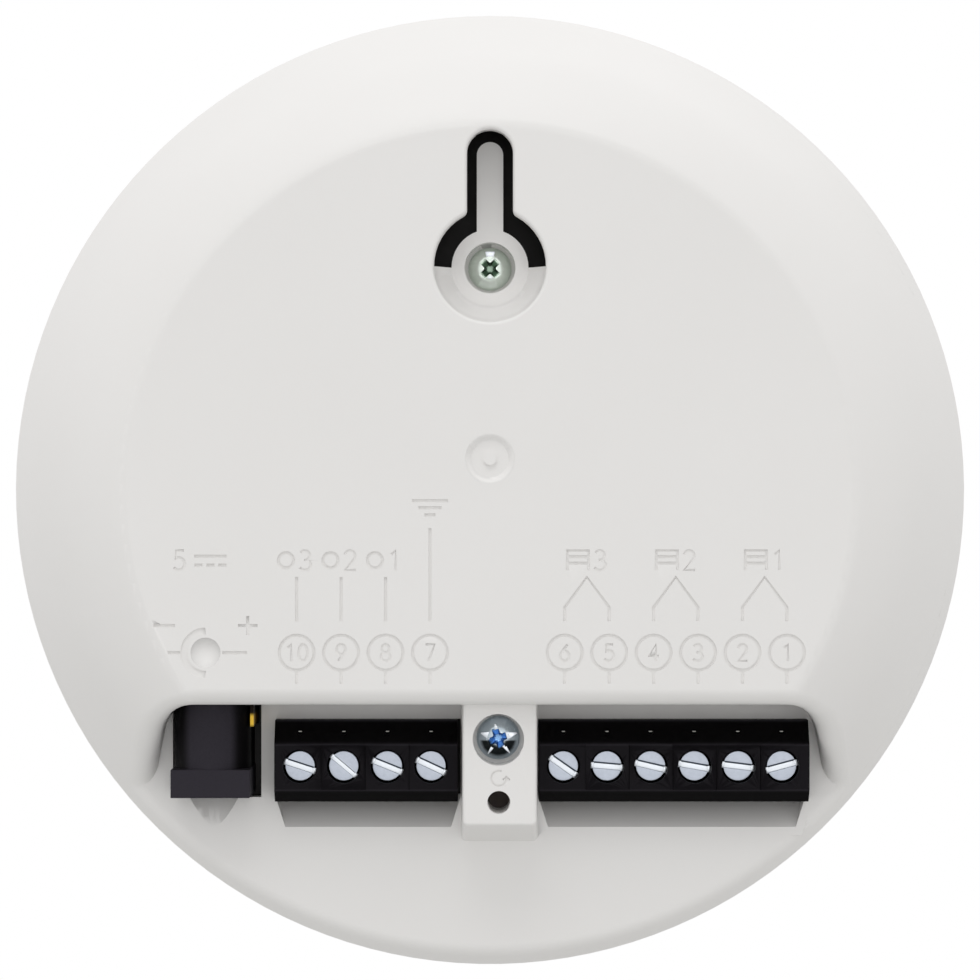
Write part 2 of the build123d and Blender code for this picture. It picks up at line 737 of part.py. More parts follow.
for block_name, places, slot_angles, first_number in terminal_blocks:
    left = places[0] - terminal_pitch / 2
    with BuildPart() as terminal_housing:
        with BuildSketch(Plane.YZ.offset(left)):
            with BuildLine():
                Polyline(
                    (board_depth, -block_back_drop),
                    (block_top_depth + block_shoulder_fall, -block_back_drop),
                    (block_top_depth, -block_shoulder_drop),
                    (block_top_depth, -block_lip_drop),
                    (block_top_depth + block_lip_fall, -block_front_drop),
                    (board_depth, -block_front_drop),
                    close=True,
                )
            make_face()
        extrude(amount=len(places) * terminal_pitch)
        # Wells for the heads, holes for the shafts and chambers for the cages
        with BuildSketch(at_depth(block_top_depth)):
            with Locations([(x, -terminal_screw_drop) for x in places]):
                Circle(terminal_head_radius + well_clearance)
        extrude(amount=-(ledge_depth - block_top_depth), mode=Mode.SUBTRACT)
        with BuildSketch(at_depth(ledge_depth)):
            with Locations([(x, -terminal_screw_drop) for x in places]):
                Circle(terminal_shaft_radius + shaft_clearance)
        extrude(amount=-ledge_thickness, mode=Mode.SUBTRACT)
        with BuildSketch(at_depth(chamber_depth)):
            with Locations([(x, -(chamber_front_drop + chamber_back_drop) / 2) for x in places]):
                Rectangle(cage_width + 2 * cage_side_clearance, chamber_front_drop - chamber_back_drop)
        extrude(amount=-(board_depth - chamber_depth), mode=Mode.SUBTRACT)
        # Wire entries with a chamfered mouth
        entry_height = cage_window_depth + cage_window_height - wire_entry_depth
        with BuildSketch(half_plan(-block_front_drop)):
            with Locations([(x, wire_entry_depth + entry_height / 2) for x in places]):
                Rectangle(wire_entry_width, entry_height)
        extrude(amount=block_front_drop - chamber_front_drop, mode=Mode.SUBTRACT)
        mouth = terminal_housing.edges().filter_by(
            lambda edge: abs(edge.bounding_box().max.Z + block_front_drop) < tolerance
            and edge.bounding_box().min.Y > wire_entry_depth - tolerance
            and edge.bounding_box().max.Y < wire_entry_depth + entry_height + tolerance
        )
        chamfer(mouth, wire_entry_chamfer)
    terminal_housing.part.label = f"{block_name}_terminal_housing"
    export_step(terminal_housing.part, f"parts/{block_name}_terminal_housing.step")

    # Contact strips, each with a leg behind its cage and a pin through the board
    with BuildPart() as terminal_contacts:
        with BuildSketch(at_depth(contact_depth)):
            with Locations([(x, -(chamber_front_drop + chamber_back_drop) / 2) for x in places]):
                Rectangle(contact_width, chamber_front_drop - chamber_back_drop)
        extrude(amount=-contact_thickness)
        with BuildSketch(at_depth(contact_depth)):
            with Locations([(x, -contact_leg_drop) for x in places]):
                Rectangle(contact_width, contact_thickness)
        extrude(amount=-(board_depth - contact_depth))
        with BuildSketch(at_depth(board_depth)):
            with Locations([(x, -contact_leg_drop) for x in places]):
                Rectangle(contact_pin_width, contact_thickness)
        extrude(amount=-(pin_end_depth - board_depth))
    terminal_contacts.part.label = f"{block_name}_terminal_contacts"
    export_step(terminal_contacts.part, f"parts/{block_name}_terminal_contacts.step")
    board_holes += [(x, -contact_leg_drop, contact_pin_width, contact_thickness) for x in places]

    for way, (x, angle) in enumerate(zip(places, slot_angles)):
        number = first_number - way
        with BuildPart() as clamp_cage:
            with BuildSketch(at_depth(cage_depth)):
                with Locations((x, -terminal_screw_drop)):
                    Rectangle(cage_width, cage_length)
            extrude(amount=-cage_height)
            with BuildSketch(half_plan(-terminal_screw_drop - cage_length / 2)):
                with Locations((x, cage_window_depth + cage_window_height / 2)):
                    Rectangle(cage_window_width, cage_window_height)
            extrude(amount=cage_length, mode=Mode.SUBTRACT)
            with BuildSketch(at_depth(cage_depth)):
                with Locations((x, -terminal_screw_drop)):
                    Circle(terminal_shaft_radius + shaft_clearance)
            extrude(amount=-cage_top_wall, mode=Mode.SUBTRACT)
        clamp_cage.part.label = f"clamp_cage_{number}"
        export_step(clamp_cage.part, f"parts/clamp_cage_{number}.step")

        with BuildPart() as terminal_screw:
            with BuildSketch(at_depth(head_top_depth)):
                with Locations((x, -terminal_screw_drop)):
                    Circle(terminal_head_radius)
            extrude(amount=-terminal_head_height)
            chamfer(terminal_screw.edges().group_by(Axis.Y)[0], terminal_head_chamfer)
            with BuildSketch(at_depth(ledge_depth)):
                with Locations((x, -terminal_screw_drop)):
                    Circle(terminal_shaft_radius)
            extrude(amount=-(cage_window_depth - ledge_depth))
            with BuildSketch(at_depth(head_top_depth)):
                with Locations(Location((x, -terminal_screw_drop), angle)):
                    Rectangle(2 * terminal_head_radius + overrun, terminal_slot_width)
            extrude(amount=-terminal_slot_depth, mode=Mode.SUBTRACT)
        terminal_screw.part.label = f"terminal_screw_{number}"
        export_step(terminal_screw.part, f"parts/terminal_screw_{number}.step")

# Power socket: flange, body with a half round crown, bore and a slot for the sleeve contact
jack_bore_end_drop = jack_front_drop - jack_bore_length
sleeve_contact_depth = jack_axis_depth + jack_bore_radius
sleeve_front_drop = jack_front_drop - sleeve_contact_front_gap
with BuildPart() as power_jack_housing:
    for start_drop, inset, length in (
        (jack_front_drop, 0, jack_flange_length),
        (jack_front_drop - jack_flange_length, jack_body_inset, jack_length - jack_flange_length),
    ):
        half_width = jack_width / 2 - inset
        with BuildSketch(half_plan(-start_drop)):
            with Locations((jack_x, (jack_axis_depth + board_depth) / 2)):
                Rectangle(2 * half_width, board_depth - jack_axis_depth)
            with Locations((jack_x, jack_axis_depth)):
                if inset:
                    Circle(half_width)
                else:
                    Rectangle(2 * half_width, 2 * (jack_axis_depth - jack_top_depth))
        extrude(amount=length)
    with BuildSketch(half_plan(-jack_front_drop)):
        with Locations((jack_x, jack_axis_depth)):
            Circle(jack_bore_radius)
    extrude(amount=jack_bore_length, mode=Mode.SUBTRACT)
    with BuildSketch(half_plan(-jack_bore_end_drop)):
        with Locations((jack_x, jack_axis_depth)):
            Circle(jack_pin_shank_radius)
    extrude(amount=jack_length - jack_bore_length, mode=Mode.SUBTRACT)
    with BuildSketch(at_depth(sleeve_contact_depth - jack_tab_thickness)):
        with Locations((jack_x, -(sleeve_front_drop + jack_bore_end_drop) / 2)):
            Rectangle(jack_tab_width + 2 * pin_clearance, sleeve_front_drop - jack_bore_end_drop)
    extrude(amount=-(board_depth - sleeve_contact_depth + jack_tab_thickness), mode=Mode.SUBTRACT)
power_jack_housing.part.label = "power_jack_housing"
export_step(power_jack_housing.part, "parts/power_jack_housing.step")

with BuildPart() as power_jack_centre_pin:
    with BuildSketch(half_plan(-jack_front_drop + jack_pin_recess)):
        with Locations((jack_x, jack_axis_depth)):
            Circle(jack_pin_radius)
    extrude(amount=jack_bore_length - jack_pin_recess)
    fillet(power_jack_centre_pin.edges().group_by(Axis.Z)[0], jack_pin_tip_radius)
    with BuildSketch(half_plan(-jack_bore_end_drop)):
        with Locations((jack_x, jack_axis_depth)):
            Circle(jack_pin_shank_radius)
    extrude(amount=jack_length - jack_bore_length)
    with BuildSketch(half_plan(-jack_back_drop)):
        with Locations((jack_x, (jack_axis_depth - jack_tab_width / 2 + board_depth) / 2)):
            Rectangle(jack_tab_width, board_depth - jack_axis_depth + jack_tab_width / 2)
        with Locations((jack_x, (board_depth + pin_end_depth) / 2)):
            Rectangle(jack_tab_width, pin_end_depth - board_depth)
    extrude(amount=jack_tab_thickness)
power_jack_centre_pin.part.label = "power_jack_centre_pin"
export_step(power_jack_centre_pin.part, "parts/power_jack_centre_pin.step")
board_holes.append((jack_x, -jack_back_drop + jack_tab_thickness / 2, jack_tab_width, jack_tab_thickness))

with BuildPart() as power_jack_sleeve_contact:
    with BuildSketch(at_depth(sleeve_contact_depth)):
        with Locations((jack_x, -(sleeve_front_drop + jack_bore_end_drop) / 2)):
            Rectangle(jack_tab_width, sleeve_front_drop - jack_bore_end_drop)
    extrude(amount=-jack_tab_thickness)
    with BuildSketch(at_depth(sleeve_contact_depth)):
        with Locations((jack_x, -jack_bore_end_drop - jack_tab_thickness / 2)):
            Rectangle(jack_tab_width, jack_tab_thickness)
    extrude(amount=-(pin_end_depth - sleeve_contact_depth))
power_jack_sleeve_contact.part.label = "power_jack_sleeve_contact"
export_step(power_jack_sleeve_contact.part, "parts/power_jack_sleeve_contact.step")
board_holes.append(
    (jack_x, -jack_bore_end_drop - jack_tab_thickness / 2, jack_tab_width, jack_tab_thickness)
)

side_contact_x = jack_x + jack_width / 2 - jack_body_inset + jack_tab_thickness / 2
with BuildPart() as power_jack_side_contact:
    with BuildSketch(at_depth(board_depth - side_contact_height)):
        with Locations((side_contact_x, -side_contact_drop)):
            Rectangle(jack_tab_thickness, side_contact_length)
    extrude(amount=-(pin_end_depth - board_depth + side_contact_height))
power_jack_side_contact.part.label = "power_jack_side_contact"
export_step(power_jack_side_contact.part, "parts/power_jack_side_contact.step")
board_holes.append((side_contact_x, -side_contact_drop, jack_tab_thickness, side_contact_length))

# Reset switch: base with a cavity, snap dome, button, cover plate and four legs
switch_top_depth = board_depth - switch_height
switch_cavity_radius = button_flange_radius + button_clearance
switch_floor_depth = switch_top_depth + switch_cavity_depth
switch_dome_depth = switch_floor_depth - switch_dome_thickness
with BuildPart() as reset_switch_base:
    with BuildSketch(at_depth(switch_top_depth)):
        with Locations((reset_x, -reset_drop)):
            Rectangle(switch_width, switch_width)
    extrude(amount=-switch_height)
    with BuildSketch(at_depth(switch_top_depth)):
        with Locations((reset_x, -reset_drop)):
            Circle(switch_cavity_radius)
    extrude(amount=-switch_cavity_depth, mode=Mode.SUBTRACT)
reset_switch_base.part.label = "reset_switch_base"
export_step(reset_switch_base.part, "parts/reset_switch_base.step")

with BuildPart() as reset_switch_dome:
    with BuildSketch(at_depth(switch_dome_depth)):
        with Locations((reset_x, -reset_drop)):
            Circle(switch_dome_radius)
    extrude(amount=-switch_dome_thickness)
reset_switch_dome.part.label = "reset_switch_dome"
export_step(reset_switch_dome.part, "parts/reset_switch_dome.step")

with BuildPart() as reset_switch_plate:
    with BuildSketch(at_depth(switch_top_depth - switch_plate_thickness)):
        with Locations((reset_x, -reset_drop)):
            Rectangle(switch_width, switch_width)
            Circle(button_radius + button_clearance, mode=Mode.SUBTRACT)
    extrude(amount=-switch_plate_thickness)
reset_switch_plate.part.label = "reset_switch_plate"
export_step(reset_switch_plate.part, "parts/reset_switch_plate.step")

with BuildPart() as reset_button:
    flange_depth = switch_top_depth + button_clearance
    with BuildSketch(at_depth(button_top_depth)):
        with Locations((reset_x, -reset_drop)):
            Circle(button_radius)
    extrude(amount=-(flange_depth - button_top_depth))
    fillet(reset_button.edges().group_by(Axis.Y)[0], button_edge_radius)
    with BuildSketch(at_depth(flange_depth)):
        with Locations((reset_x, -reset_drop)):
            Circle(button_flange_radius)
    extrude(amount=-button_flange_height)
    with BuildSketch(at_depth(flange_depth + button_flange_height)):
        with Locations((reset_x, -reset_drop)):
            Circle(button_tail_radius)
    tail_end_depth = switch_dome_depth - button_travel - button_clearance
    extrude(amount=-(tail_end_depth - flange_depth - button_flange_height))
reset_button.part.label = "reset_button"
export_step(reset_button.part, "parts/reset_button.step")

leg_places = [
    (reset_x + side * (switch_width + switch_leg_thickness) / 2, end * switch_leg_spread / 2 - reset_drop)
    for side in (-1, 1)
    for end in (-1, 1)
]
with BuildPart() as reset_switch_legs:
    with BuildSketch(at_depth(board_depth - switch_leg_height)):
        with Locations(leg_places):
            Rectangle(switch_leg_thickness, switch_leg_width)
    extrude(amount=-(pin_end_depth - board_depth + switch_leg_height))
reset_switch_legs.part.label = "reset_switch_legs"
export_step(reset_switch_legs.part, "parts/reset_switch_legs.step")
board_holes += [(x, z, switch_leg_thickness, switch_leg_width) for x, z in leg_places]

# Relays with a resin base that is a little smaller than the case
for number in (1, 2, 3):
    x = relay_first_x + (number - 1) * relay_pitch
    with BuildPart() as relay:
        with BuildSketch(at_depth(board_depth)):
            with Locations((x, -relay_drop)):
                Rectangle(relay_width - 2 * relay_edge_radius, relay_length - 2 * relay_edge_radius)
        extrude(amount=relay_base_height)
        with BuildSketch(at_depth(board_depth - relay_base_height)):
            with Locations((x, -relay_drop)):
                Rectangle(relay_width, relay_length)
        extrude(amount=relay_height - relay_base_height)
        fillet(relay.edges().group_by(Axis.Y)[0], relay_edge_radius)
    relay.part.label = f"relay_{number}"
    export_step(relay.part, f"parts/relay_{number}.step")

# Radio module: its own small board, with a shield over the lower part and the aerial above it
radio_board_depth = board_depth - radio_board_thickness
with BuildPart() as radio_board:
    with BuildSketch(at_depth(radio_board_depth)):
        with Locations((radio_x, radio_rise)):
            Rectangle(radio_width, radio_length)
    extrude(amount=-radio_board_thickness)
radio_board.part.label = "radio_board"
export_step(radio_board.part, "parts/radio_board.step")

with BuildPart() as radio_shield:
    with BuildSketch(at_depth(radio_board_depth)):
        with Locations((radio_x, radio_rise - (radio_length - shield_length) / 2 + antenna_margin)):
            Rectangle(shield_width, shield_length)
    extrude(amount=shield_height)
    fillet(radio_shield.edges().group_by(Axis.Y)[0], shield_edge_radius)
radio_shield.part.label = "radio_shield"
export_step(radio_shield.part, "parts/radio_shield.step")

with BuildPart() as processor:
    with BuildSketch(at_depth(board_depth)):
        with Locations((processor_x, processor_rise)):
            Rectangle(processor_width, processor_width)
    extrude(amount=processor_height)
    chamfer(processor.edges().group_by(Axis.Y)[0], processor_chamfer)
processor.part.label = "processor"
export_step(processor.part, "parts/processor.step")

with BuildPart() as crystal:
    with BuildSketch(at_depth(board_depth)):
        with Locations((processor_x, crystal_rise)):
            SlotOverall(crystal_width, crystal_length)
    extrude(amount=crystal_height)
    fillet(crystal.edges().group_by(Axis.Y)[0], capacitor_edge_radius)
crystal.part.label = "crystal"
export_step(crystal.part, "parts/crystal.step")

for size, x, drop, radius, height in (
    ("large", large_capacitor_x, large_capacitor_drop, large_capacitor_radius, large_capacitor_height),
    ("small", small_capacitor_x, small_capacitor_drop, small_capacitor_radius, small_capacitor_height),
):
    with BuildPart() as capacitor:
        with BuildSketch(at_depth(board_depth)):
            with Locations((x, -drop)):
                Circle(radius)
        extrude(amount=height)
        fillet(capacitor.edges().group_by(Axis.Y)[0], capacitor_edge_radius)
    capacitor.part.label = f"{size}_capacitor"
    export_step(capacitor.part, f"parts/{size}_capacitor.step")

with BuildPart() as inductor:
    with BuildSketch(at_depth(board_depth)):
        with Locations((inductor_x, -inductor_drop)):
            Rectangle(inductor_width, inductor_width)
    extrude(amount=inductor_height)
    chamfer(inductor.edges().filter_by(Axis.Y), inductor_chamfer)
inductor.part.label = "inductor"
export_step(inductor.part, "parts/inductor.step")

with BuildPart() as voltage_regulator:
    with BuildSketch(at_depth(board_depth)):
        with Locations((regulator_x, -regulator_drop)):
            Rectangle(regulator_width, regulator_length)
    extrude(amount=regulator_height)
    chamfer(voltage_regulator.edges().group_by(Axis.Y)[0], processor_chamfer)
voltage_regulator.part.label = "voltage_regulator"
export_step(voltage_regulator.part, "parts/voltage_regulator.step")

with BuildPart() as buzzer:
    with BuildSketch(at_depth(board_depth)):
        with Locations((buzzer_x, buzzer_rise)):
            Circle(buzzer_radius)
    extrude(amount=buzzer_height)
    fillet(buzzer.edges().group_by(Axis.Y)[0], buzzer_edge_radius)
    with BuildSketch(at_depth(board_depth - buzzer_height)):
        with Locations((buzzer_x, buzzer_rise)):
            Circle(buzzer_hole_radius)
    extrude(amount=-buzzer_height / 2, mode=Mode.SUBTRACT)
buzzer.part.label = "buzzer"
export_step(buzzer.part, "parts/buzzer.step")

# One optocoupler for each sensor input
with BuildPart() as optocouplers:
    with BuildSketch(at_depth(board_depth)):
        for number in range(sensor_ways - 1):
            with Locations((optocoupler_first_x + number * optocoupler_pitch, -optocoupler_drop)):
                Rectangle(optocoupler_width, optocoupler_length)
    extrude(amount=optocoupler_height)
    chamfer(optocouplers.edges().group_by(Axis.Y)[0], processor_chamfer)
optocouplers.part.label = "optocouplers"
export_step(optocouplers.part, "parts/optocouplers.step")

# Status light: a lamp on the front of the board and the pipe that leads it out
with BuildPart() as status_lamp:
    with BuildSketch(at_depth(board_back)):
        with Locations((0, lamp_rise)):
            Rectangle(lamp_width, lamp_width)
    extrude(amount=-lamp_height)
status_lamp.part.label = "status_lamp"
export_step(status_lamp.part, "parts/status_lamp.step")

pipe_start_depth = board_back + lamp_height + pipe_lamp_gap
pipe_flange_depth = case_thickness - case_wall - pipe_flange_height
with BuildPart() as light_pipe:
    with BuildSketch(at_depth(pipe_start_depth)):
        with Locations((0, lamp_rise)):
            Circle(pipe_radius)
    extrude(amount=-(case_thickness - pipe_start_depth))
    with BuildSketch(at_depth(pipe_flange_depth)):
        with Locations((0, lamp_rise)):
            Circle(pipe_flange_radius)
    extrude(amount=-pipe_flange_height)
light_pipe.part.label = "light_pipe"
export_step(light_pipe.part, "parts/light_pipe.step")

# Board with its screw holes, locating notches and pin holes
with BuildPart() as circuit_board:
    with BuildSketch(at_depth(board_depth)):
        Circle(board_radius)
        for name, x, rise, seat_depth, angle in case_screws:
            with Locations((x, rise)):
                Circle(screw_radius + board_hole_clearance, mode=Mode.SUBTRACT)
        with Locations((-board_radius, 0), (board_radius, 0)):
            Circle(board_notch_radius, mode=Mode.SUBTRACT)
        for x, z, width, length in board_holes:
            with Locations((x, z)):
                Rectangle(width + 2 * pin_clearance, length + 2 * pin_clearance, mode=Mode.SUBTRACT)
    extrude(amount=-board_thickness)
circuit_board.part.label = "circuit_board"
export_step(circuit_board.part, "parts/circuit_board.step")
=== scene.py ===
# %% [markdown]
# # A garage door controller, seen from its back
#
# The part hangs on a wall with its back to us, so the wall is the plane Y = 0, +Z is up and the
# case reaches to +Y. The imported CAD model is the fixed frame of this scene. First it is loaded,
# and its box is kept, because the finished picture has to stay inside that box.

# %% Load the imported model
import json
from itertools import product
from math import ceil, cos, dist, pi, radians, sin

import bmesh
import bpy
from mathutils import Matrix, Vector

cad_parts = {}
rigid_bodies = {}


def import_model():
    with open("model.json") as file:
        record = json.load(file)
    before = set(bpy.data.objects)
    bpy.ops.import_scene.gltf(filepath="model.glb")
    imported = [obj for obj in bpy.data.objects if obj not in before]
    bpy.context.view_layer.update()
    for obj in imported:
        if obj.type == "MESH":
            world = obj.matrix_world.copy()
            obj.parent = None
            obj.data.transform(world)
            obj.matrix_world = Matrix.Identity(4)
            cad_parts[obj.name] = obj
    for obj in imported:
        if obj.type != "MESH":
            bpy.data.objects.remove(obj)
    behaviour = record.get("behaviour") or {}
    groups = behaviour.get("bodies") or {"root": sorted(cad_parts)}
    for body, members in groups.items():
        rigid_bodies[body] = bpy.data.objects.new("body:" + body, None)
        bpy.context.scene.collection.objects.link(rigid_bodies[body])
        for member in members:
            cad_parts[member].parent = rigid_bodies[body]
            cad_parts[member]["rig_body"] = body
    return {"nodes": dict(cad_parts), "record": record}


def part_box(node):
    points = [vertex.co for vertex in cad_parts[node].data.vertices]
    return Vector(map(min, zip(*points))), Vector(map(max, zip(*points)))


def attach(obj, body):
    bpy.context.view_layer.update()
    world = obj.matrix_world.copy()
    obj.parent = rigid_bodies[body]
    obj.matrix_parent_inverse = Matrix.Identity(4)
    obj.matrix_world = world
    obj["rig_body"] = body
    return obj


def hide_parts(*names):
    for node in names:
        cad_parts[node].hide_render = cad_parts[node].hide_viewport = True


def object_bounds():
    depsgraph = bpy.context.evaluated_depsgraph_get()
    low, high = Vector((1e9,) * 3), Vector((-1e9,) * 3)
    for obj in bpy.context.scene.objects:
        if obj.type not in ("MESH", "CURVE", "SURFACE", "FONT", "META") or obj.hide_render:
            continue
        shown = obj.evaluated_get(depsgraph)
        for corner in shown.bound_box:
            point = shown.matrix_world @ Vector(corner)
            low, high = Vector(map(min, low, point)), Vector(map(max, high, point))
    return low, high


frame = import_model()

cad_box = [list(corner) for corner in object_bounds()]
MM = 0.001
print("box of the CAD model in mm:", [[round(value / MM, 2) for value in corner] for corner in cad_box])


def new_object(name, data):
    """Object at the origin that holds a mesh or other data."""
    made = bpy.data.objects.new(name, data)
    bpy.context.scene.collection.objects.link(made)
    return made


def box_mm(node_name):
    """Low and high corner of a CAD node's box, in millimetres."""
    return [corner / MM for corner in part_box(node_name)]


def middle_of(node_name):
    """Middle of a CAD node's box, in metres."""
    low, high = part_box(node_name)
    return (low + high) / 2


# %% [markdown]
# ## Camera
#
# The photograph looks straight at the back from a little over 40 cm, which a long lens shows
# without bending the round outline. The camera stands on the axis of the case, so the lens needs
# no shift. The lens follows from how many pixels one millimetre of the back covers.

# %% Camera
IMAGE_WIDTH = 980
PIXELS_PER_MM = 8.89
CAMERA_DISTANCE = 420 * MM
SENSOR_WIDTH = 36.0

camera_data = bpy.data.cameras.new("photo_camera")
camera_data.sensor_width = SENSOR_WIDTH
camera_data.lens = PIXELS_PER_MM / MM * CAMERA_DISTANCE / IMAGE_WIDTH * SENSOR_WIDTH
camera = new_object("photo_camera", camera_data)
camera.location = (0, -CAMERA_DISTANCE, 0)
camera.rotation_euler = (pi / 2, 0, 0)
bpy.context.scene.camera = camera
bpy.context.scene.view_settings.view_transform = "Standard"

# %% [markdown]
# ## One class for all node trees
#
# Materials and Geometry Nodes are both graphs of nodes. A small class that wraps one output
# socket lets us write sums such as `1 - mask`, and each sum adds its Math node. Any other node
# comes from the method `node`, which sets the node's own settings first and then its sockets.


# %% Wrap a socket
class Signal:
    """An output socket of a node tree. Sums on it add Math nodes to that tree."""

    def __init__(self, tree, socket=None):
        self.tree = tree
        self.socket = socket

    def node(self, kind, settings, inputs, output=0):
        """Add a node with its settings and inputs, and return one of its outputs."""
        made = self.tree.nodes.new(kind)
        for name, value in settings.items():
            setattr(made, name, value)
        for key, value in inputs.items():
            if isinstance(value, Signal):
                self.tree.links.new(value.socket, made.inputs[key])
            elif isinstance(value, list):
                for signal in value:
                    self.tree.links.new(signal.socket, made.inputs[key])
            else:
                made.inputs[key].default_value = value
        return Signal(self.tree, made.outputs[output])

    def maths(self, operation, first, second):
        return self.node("ShaderNodeMath", {"operation": operation}, {0: first, 1: second})

    def __add__(self, other):
        return self.maths("ADD", self, other)

    __radd__ = __add__

    def __sub__(self, other):
        return self.maths("SUBTRACT", self, other)

    def __rsub__(self, other):
        return self.maths("SUBTRACT", other, self)

    def __mul__(self, other):
        return self.maths("MULTIPLY", self, other)

    __rmul__ = __mul__

    def __truediv__(self, other):
        return self.maths("DIVIDE", self, other)

    def __abs__(self):
        return self.node("ShaderNodeMath", {"operation": "ABSOLUTE"}, {0: self})


# %% [markdown]
# ## Light
#
# The photograph was taken in a soft white light that is a little stronger from above: the top of
# the domed edge is the brightest part and its foot the darkest. A world whose light grows with
# height does most of that, and a large lamp above adds a direction. A weak lamp in front fills in,
# and one behind the part serves the views from there. Rays that come straight from the camera, or
# by way of a glossy or clear surface, see plain white instead.

# %% World
WORLD_LEVEL = 0.775
WORLD_SLOPE = 0.12

world = bpy.data.worlds.new("soft_studio")
world.use_nodes = True
bpy.context.scene.world = world
sky = Signal(world.node_tree)
rays = [
    sky.node("ShaderNodeLightPath", {}, {}, output=f"Is {kind} Ray")
    for kind in ("Camera", "Glossy", "Transmission")
]
seen = sky.maths("MAXIMUM", sky.maths("MAXIMUM", rays[0], rays[1]), rays[2])
direction = sky.node("ShaderNodeTexCoord", {}, {}, output="Generated")
upward = sky.node("ShaderNodeSeparateXYZ", {}, {0: direction}, output="Z")
strength = seen + (1 - seen) * (WORLD_LEVEL + WORLD_SLOPE * upward)
background = world.node_tree.nodes["Background"]
background.inputs["Color"].default_value = (1, 1, 1, 1)
world.node_tree.links.new(strength.socket, background.inputs["Strength"])


# %% Lamps
def soft_lamp(name, place, target, size, power):
    """Square area lamp, in metres and watts, turned to its target."""
    data = bpy.data.lights.new(name, "AREA")
    data.size = size
    data.energy = power
    lamp = new_object(name, data)
    lamp.location = place
    lamp.rotation_euler = (Vector(target) - Vector(place)).to_track_quat("-Z", "Y").to_euler()


middle = (Vector(cad_box[0]) + Vector(cad_box[1])) / 2
soft_lamp("lamp_above", (-0.1, -0.45, 0.85), middle, size=0.5, power=1.8)
soft_lamp("lamp_front", (0.05, -0.95, 0.1), middle, size=0.3, power=0.4)
soft_lamp("lamp_behind", (0.3, 0.8, 0.7), middle, size=0.5, power=1.1)


# %% [markdown]
# ## Materials
#
# Each finish starts from the Object coordinates, which are metres in this scene, so a noise with
# a scale of 1000 has grains of about one millimetre. Only what changes over the surface is
# linked: a faint change of colour, a change of roughness and a fine bump. Fixed numbers are set
# on the shader itself.

# %% Helpers for finishes
def noise(place, scale, detail=2.0, roughness=0.5):
    """Noise between 0 and 1 at so many grains a metre."""
    return place.node(
        "ShaderNodeTexNoise", {"noise_dimensions": "3D"},
        {"Vector": place, "Scale": scale, "Detail": detail, "Roughness": roughness},
    )


def between(factor, first, second):
    """Colour that goes from the first to the second as the factor goes from 0 to 1."""
    ends = [end if isinstance(end, Signal) else (*end, 1) for end in (first, second)]
    return factor.node("ShaderNodeMix", {"data_type": "RGBA"}, {0: factor, 6: ends[0], 7: ends[1]}, output=2)


def stretched(place, scales):
    """The same coordinates, scaled along each axis, for grain that runs one way."""
    return place.node("ShaderNodeMapping", {}, {"Vector": place, "Scale": scales})


def bumped(height, depth):
    """Normal of a surface whose relief is the height times a depth in metres."""
    return height.node("ShaderNodeBump", {}, {"Height": height, "Distance": depth, "Strength": 1.0})


def finish(name, varying, fixed):
    """Material from a function of the coordinates, for what varies, and from fixed numbers."""
    material = bpy.data.materials.new(name)
    material.use_nodes = True
    tree = material.node_tree
    shader = tree.nodes["Principled BSDF"]
    for socket, value in fixed.items():
        shader.inputs[socket].default_value = value
    place = Signal(tree).node("ShaderNodeTexCoord", {}, {}, output="Object")
    for socket, signal in varying(place).items():
        tree.links.new(signal.socket, shader.inputs[socket])
    return material


def moulded(light, dark, gloss, grain, depth):
    """What varies on moulded plastic: a faint mottle and the texture of the mould."""

    def varying(place):
        mottle = noise(place, 60, detail=4)
        texture = noise(place, grain, detail=3)
        return {
            "Base Color": between(mottle, dark, light),
            "Roughness": gloss + 0.12 * texture,
            "Normal": bumped(texture, depth),
        }

    return varying


def plated(light, dark, gloss, grain):
    """What varies on plated steel: cloudy plating, fine scratches and small pits."""

    def varying(place):
        cloud = noise(place, 900, detail=5, roughness=0.65)
        scratch = noise(stretched(place, (grain, grain, 0.15 * grain)), 1, detail=3)
        return {
            "Base Color": between(cloud, dark, light),
            "Roughness": gloss + 0.22 * cloud,
            "Normal": bumped(0.6 * scratch + 0.4 * cloud, 0.018 * MM),
        }

    return varying


# %% Finishes of the plastics
# Of each slot: a word for its colour, a light and a dark shade, roughness, grains in a metre,
# depth of the texture in millimetres and specular level
PLASTICS = {
    "case_plastic": ("white", (0.85, 0.838, 0.824), (0.825, 0.812, 0.796), 0.42, 3200, 0.004, 0.4),
    "button_plastic": ("dark", (0.17, 0.135, 0.12), (0.14, 0.11, 0.1), 0.5, 3000, 0.004, 0.3),
    "relay_plastic": ("blue", (0.05, 0.09, 0.2), (0.035, 0.065, 0.15), 0.25, 2600, 0.004, 0.5),
    "chip_epoxy": ("black", (0.03, 0.03, 0.032), (0.018, 0.018, 0.02), 0.55, 6000, 0.006, 0.4),
    "lamp_epoxy": ("pale", (0.86, 0.82, 0.6), (0.78, 0.72, 0.5), 0.3, 2500, 0.003, 0.5),
}
finishes = {}
for slot, (colour, light, dark, gloss, grain, depth, specular) in PLASTICS.items():
    varying = moulded(light, dark, gloss, grain, depth * MM)
    finishes[slot] = finish(f"{slot}_{colour}", varying, {"Specular IOR Level": specular})
finishes["clear_plastic"] = finish(
    "clear_plastic_pipe",
    moulded((0.93, 0.95, 0.96), (0.88, 0.9, 0.92), 0.08, 2000, 0.002 * MM),
    {"Transmission Weight": 0.85, "IOR": 1.49},
)

# %% [markdown]
# The black parts get painted light: the outermost faces of the terminal blocks are painted a
# little paler than their shaded slopes, with painted highlights along their edges, and the crown of
# the power socket is painted paler than its shaded flanks. A mask made from one coordinate picks out such a
# band.


# %% Masks along an axis
def axis_of(place, axis):
    """One coordinate in millimetres."""
    return place.node("ShaderNodeSeparateXYZ", {}, {0: place}, output=axis) / MM


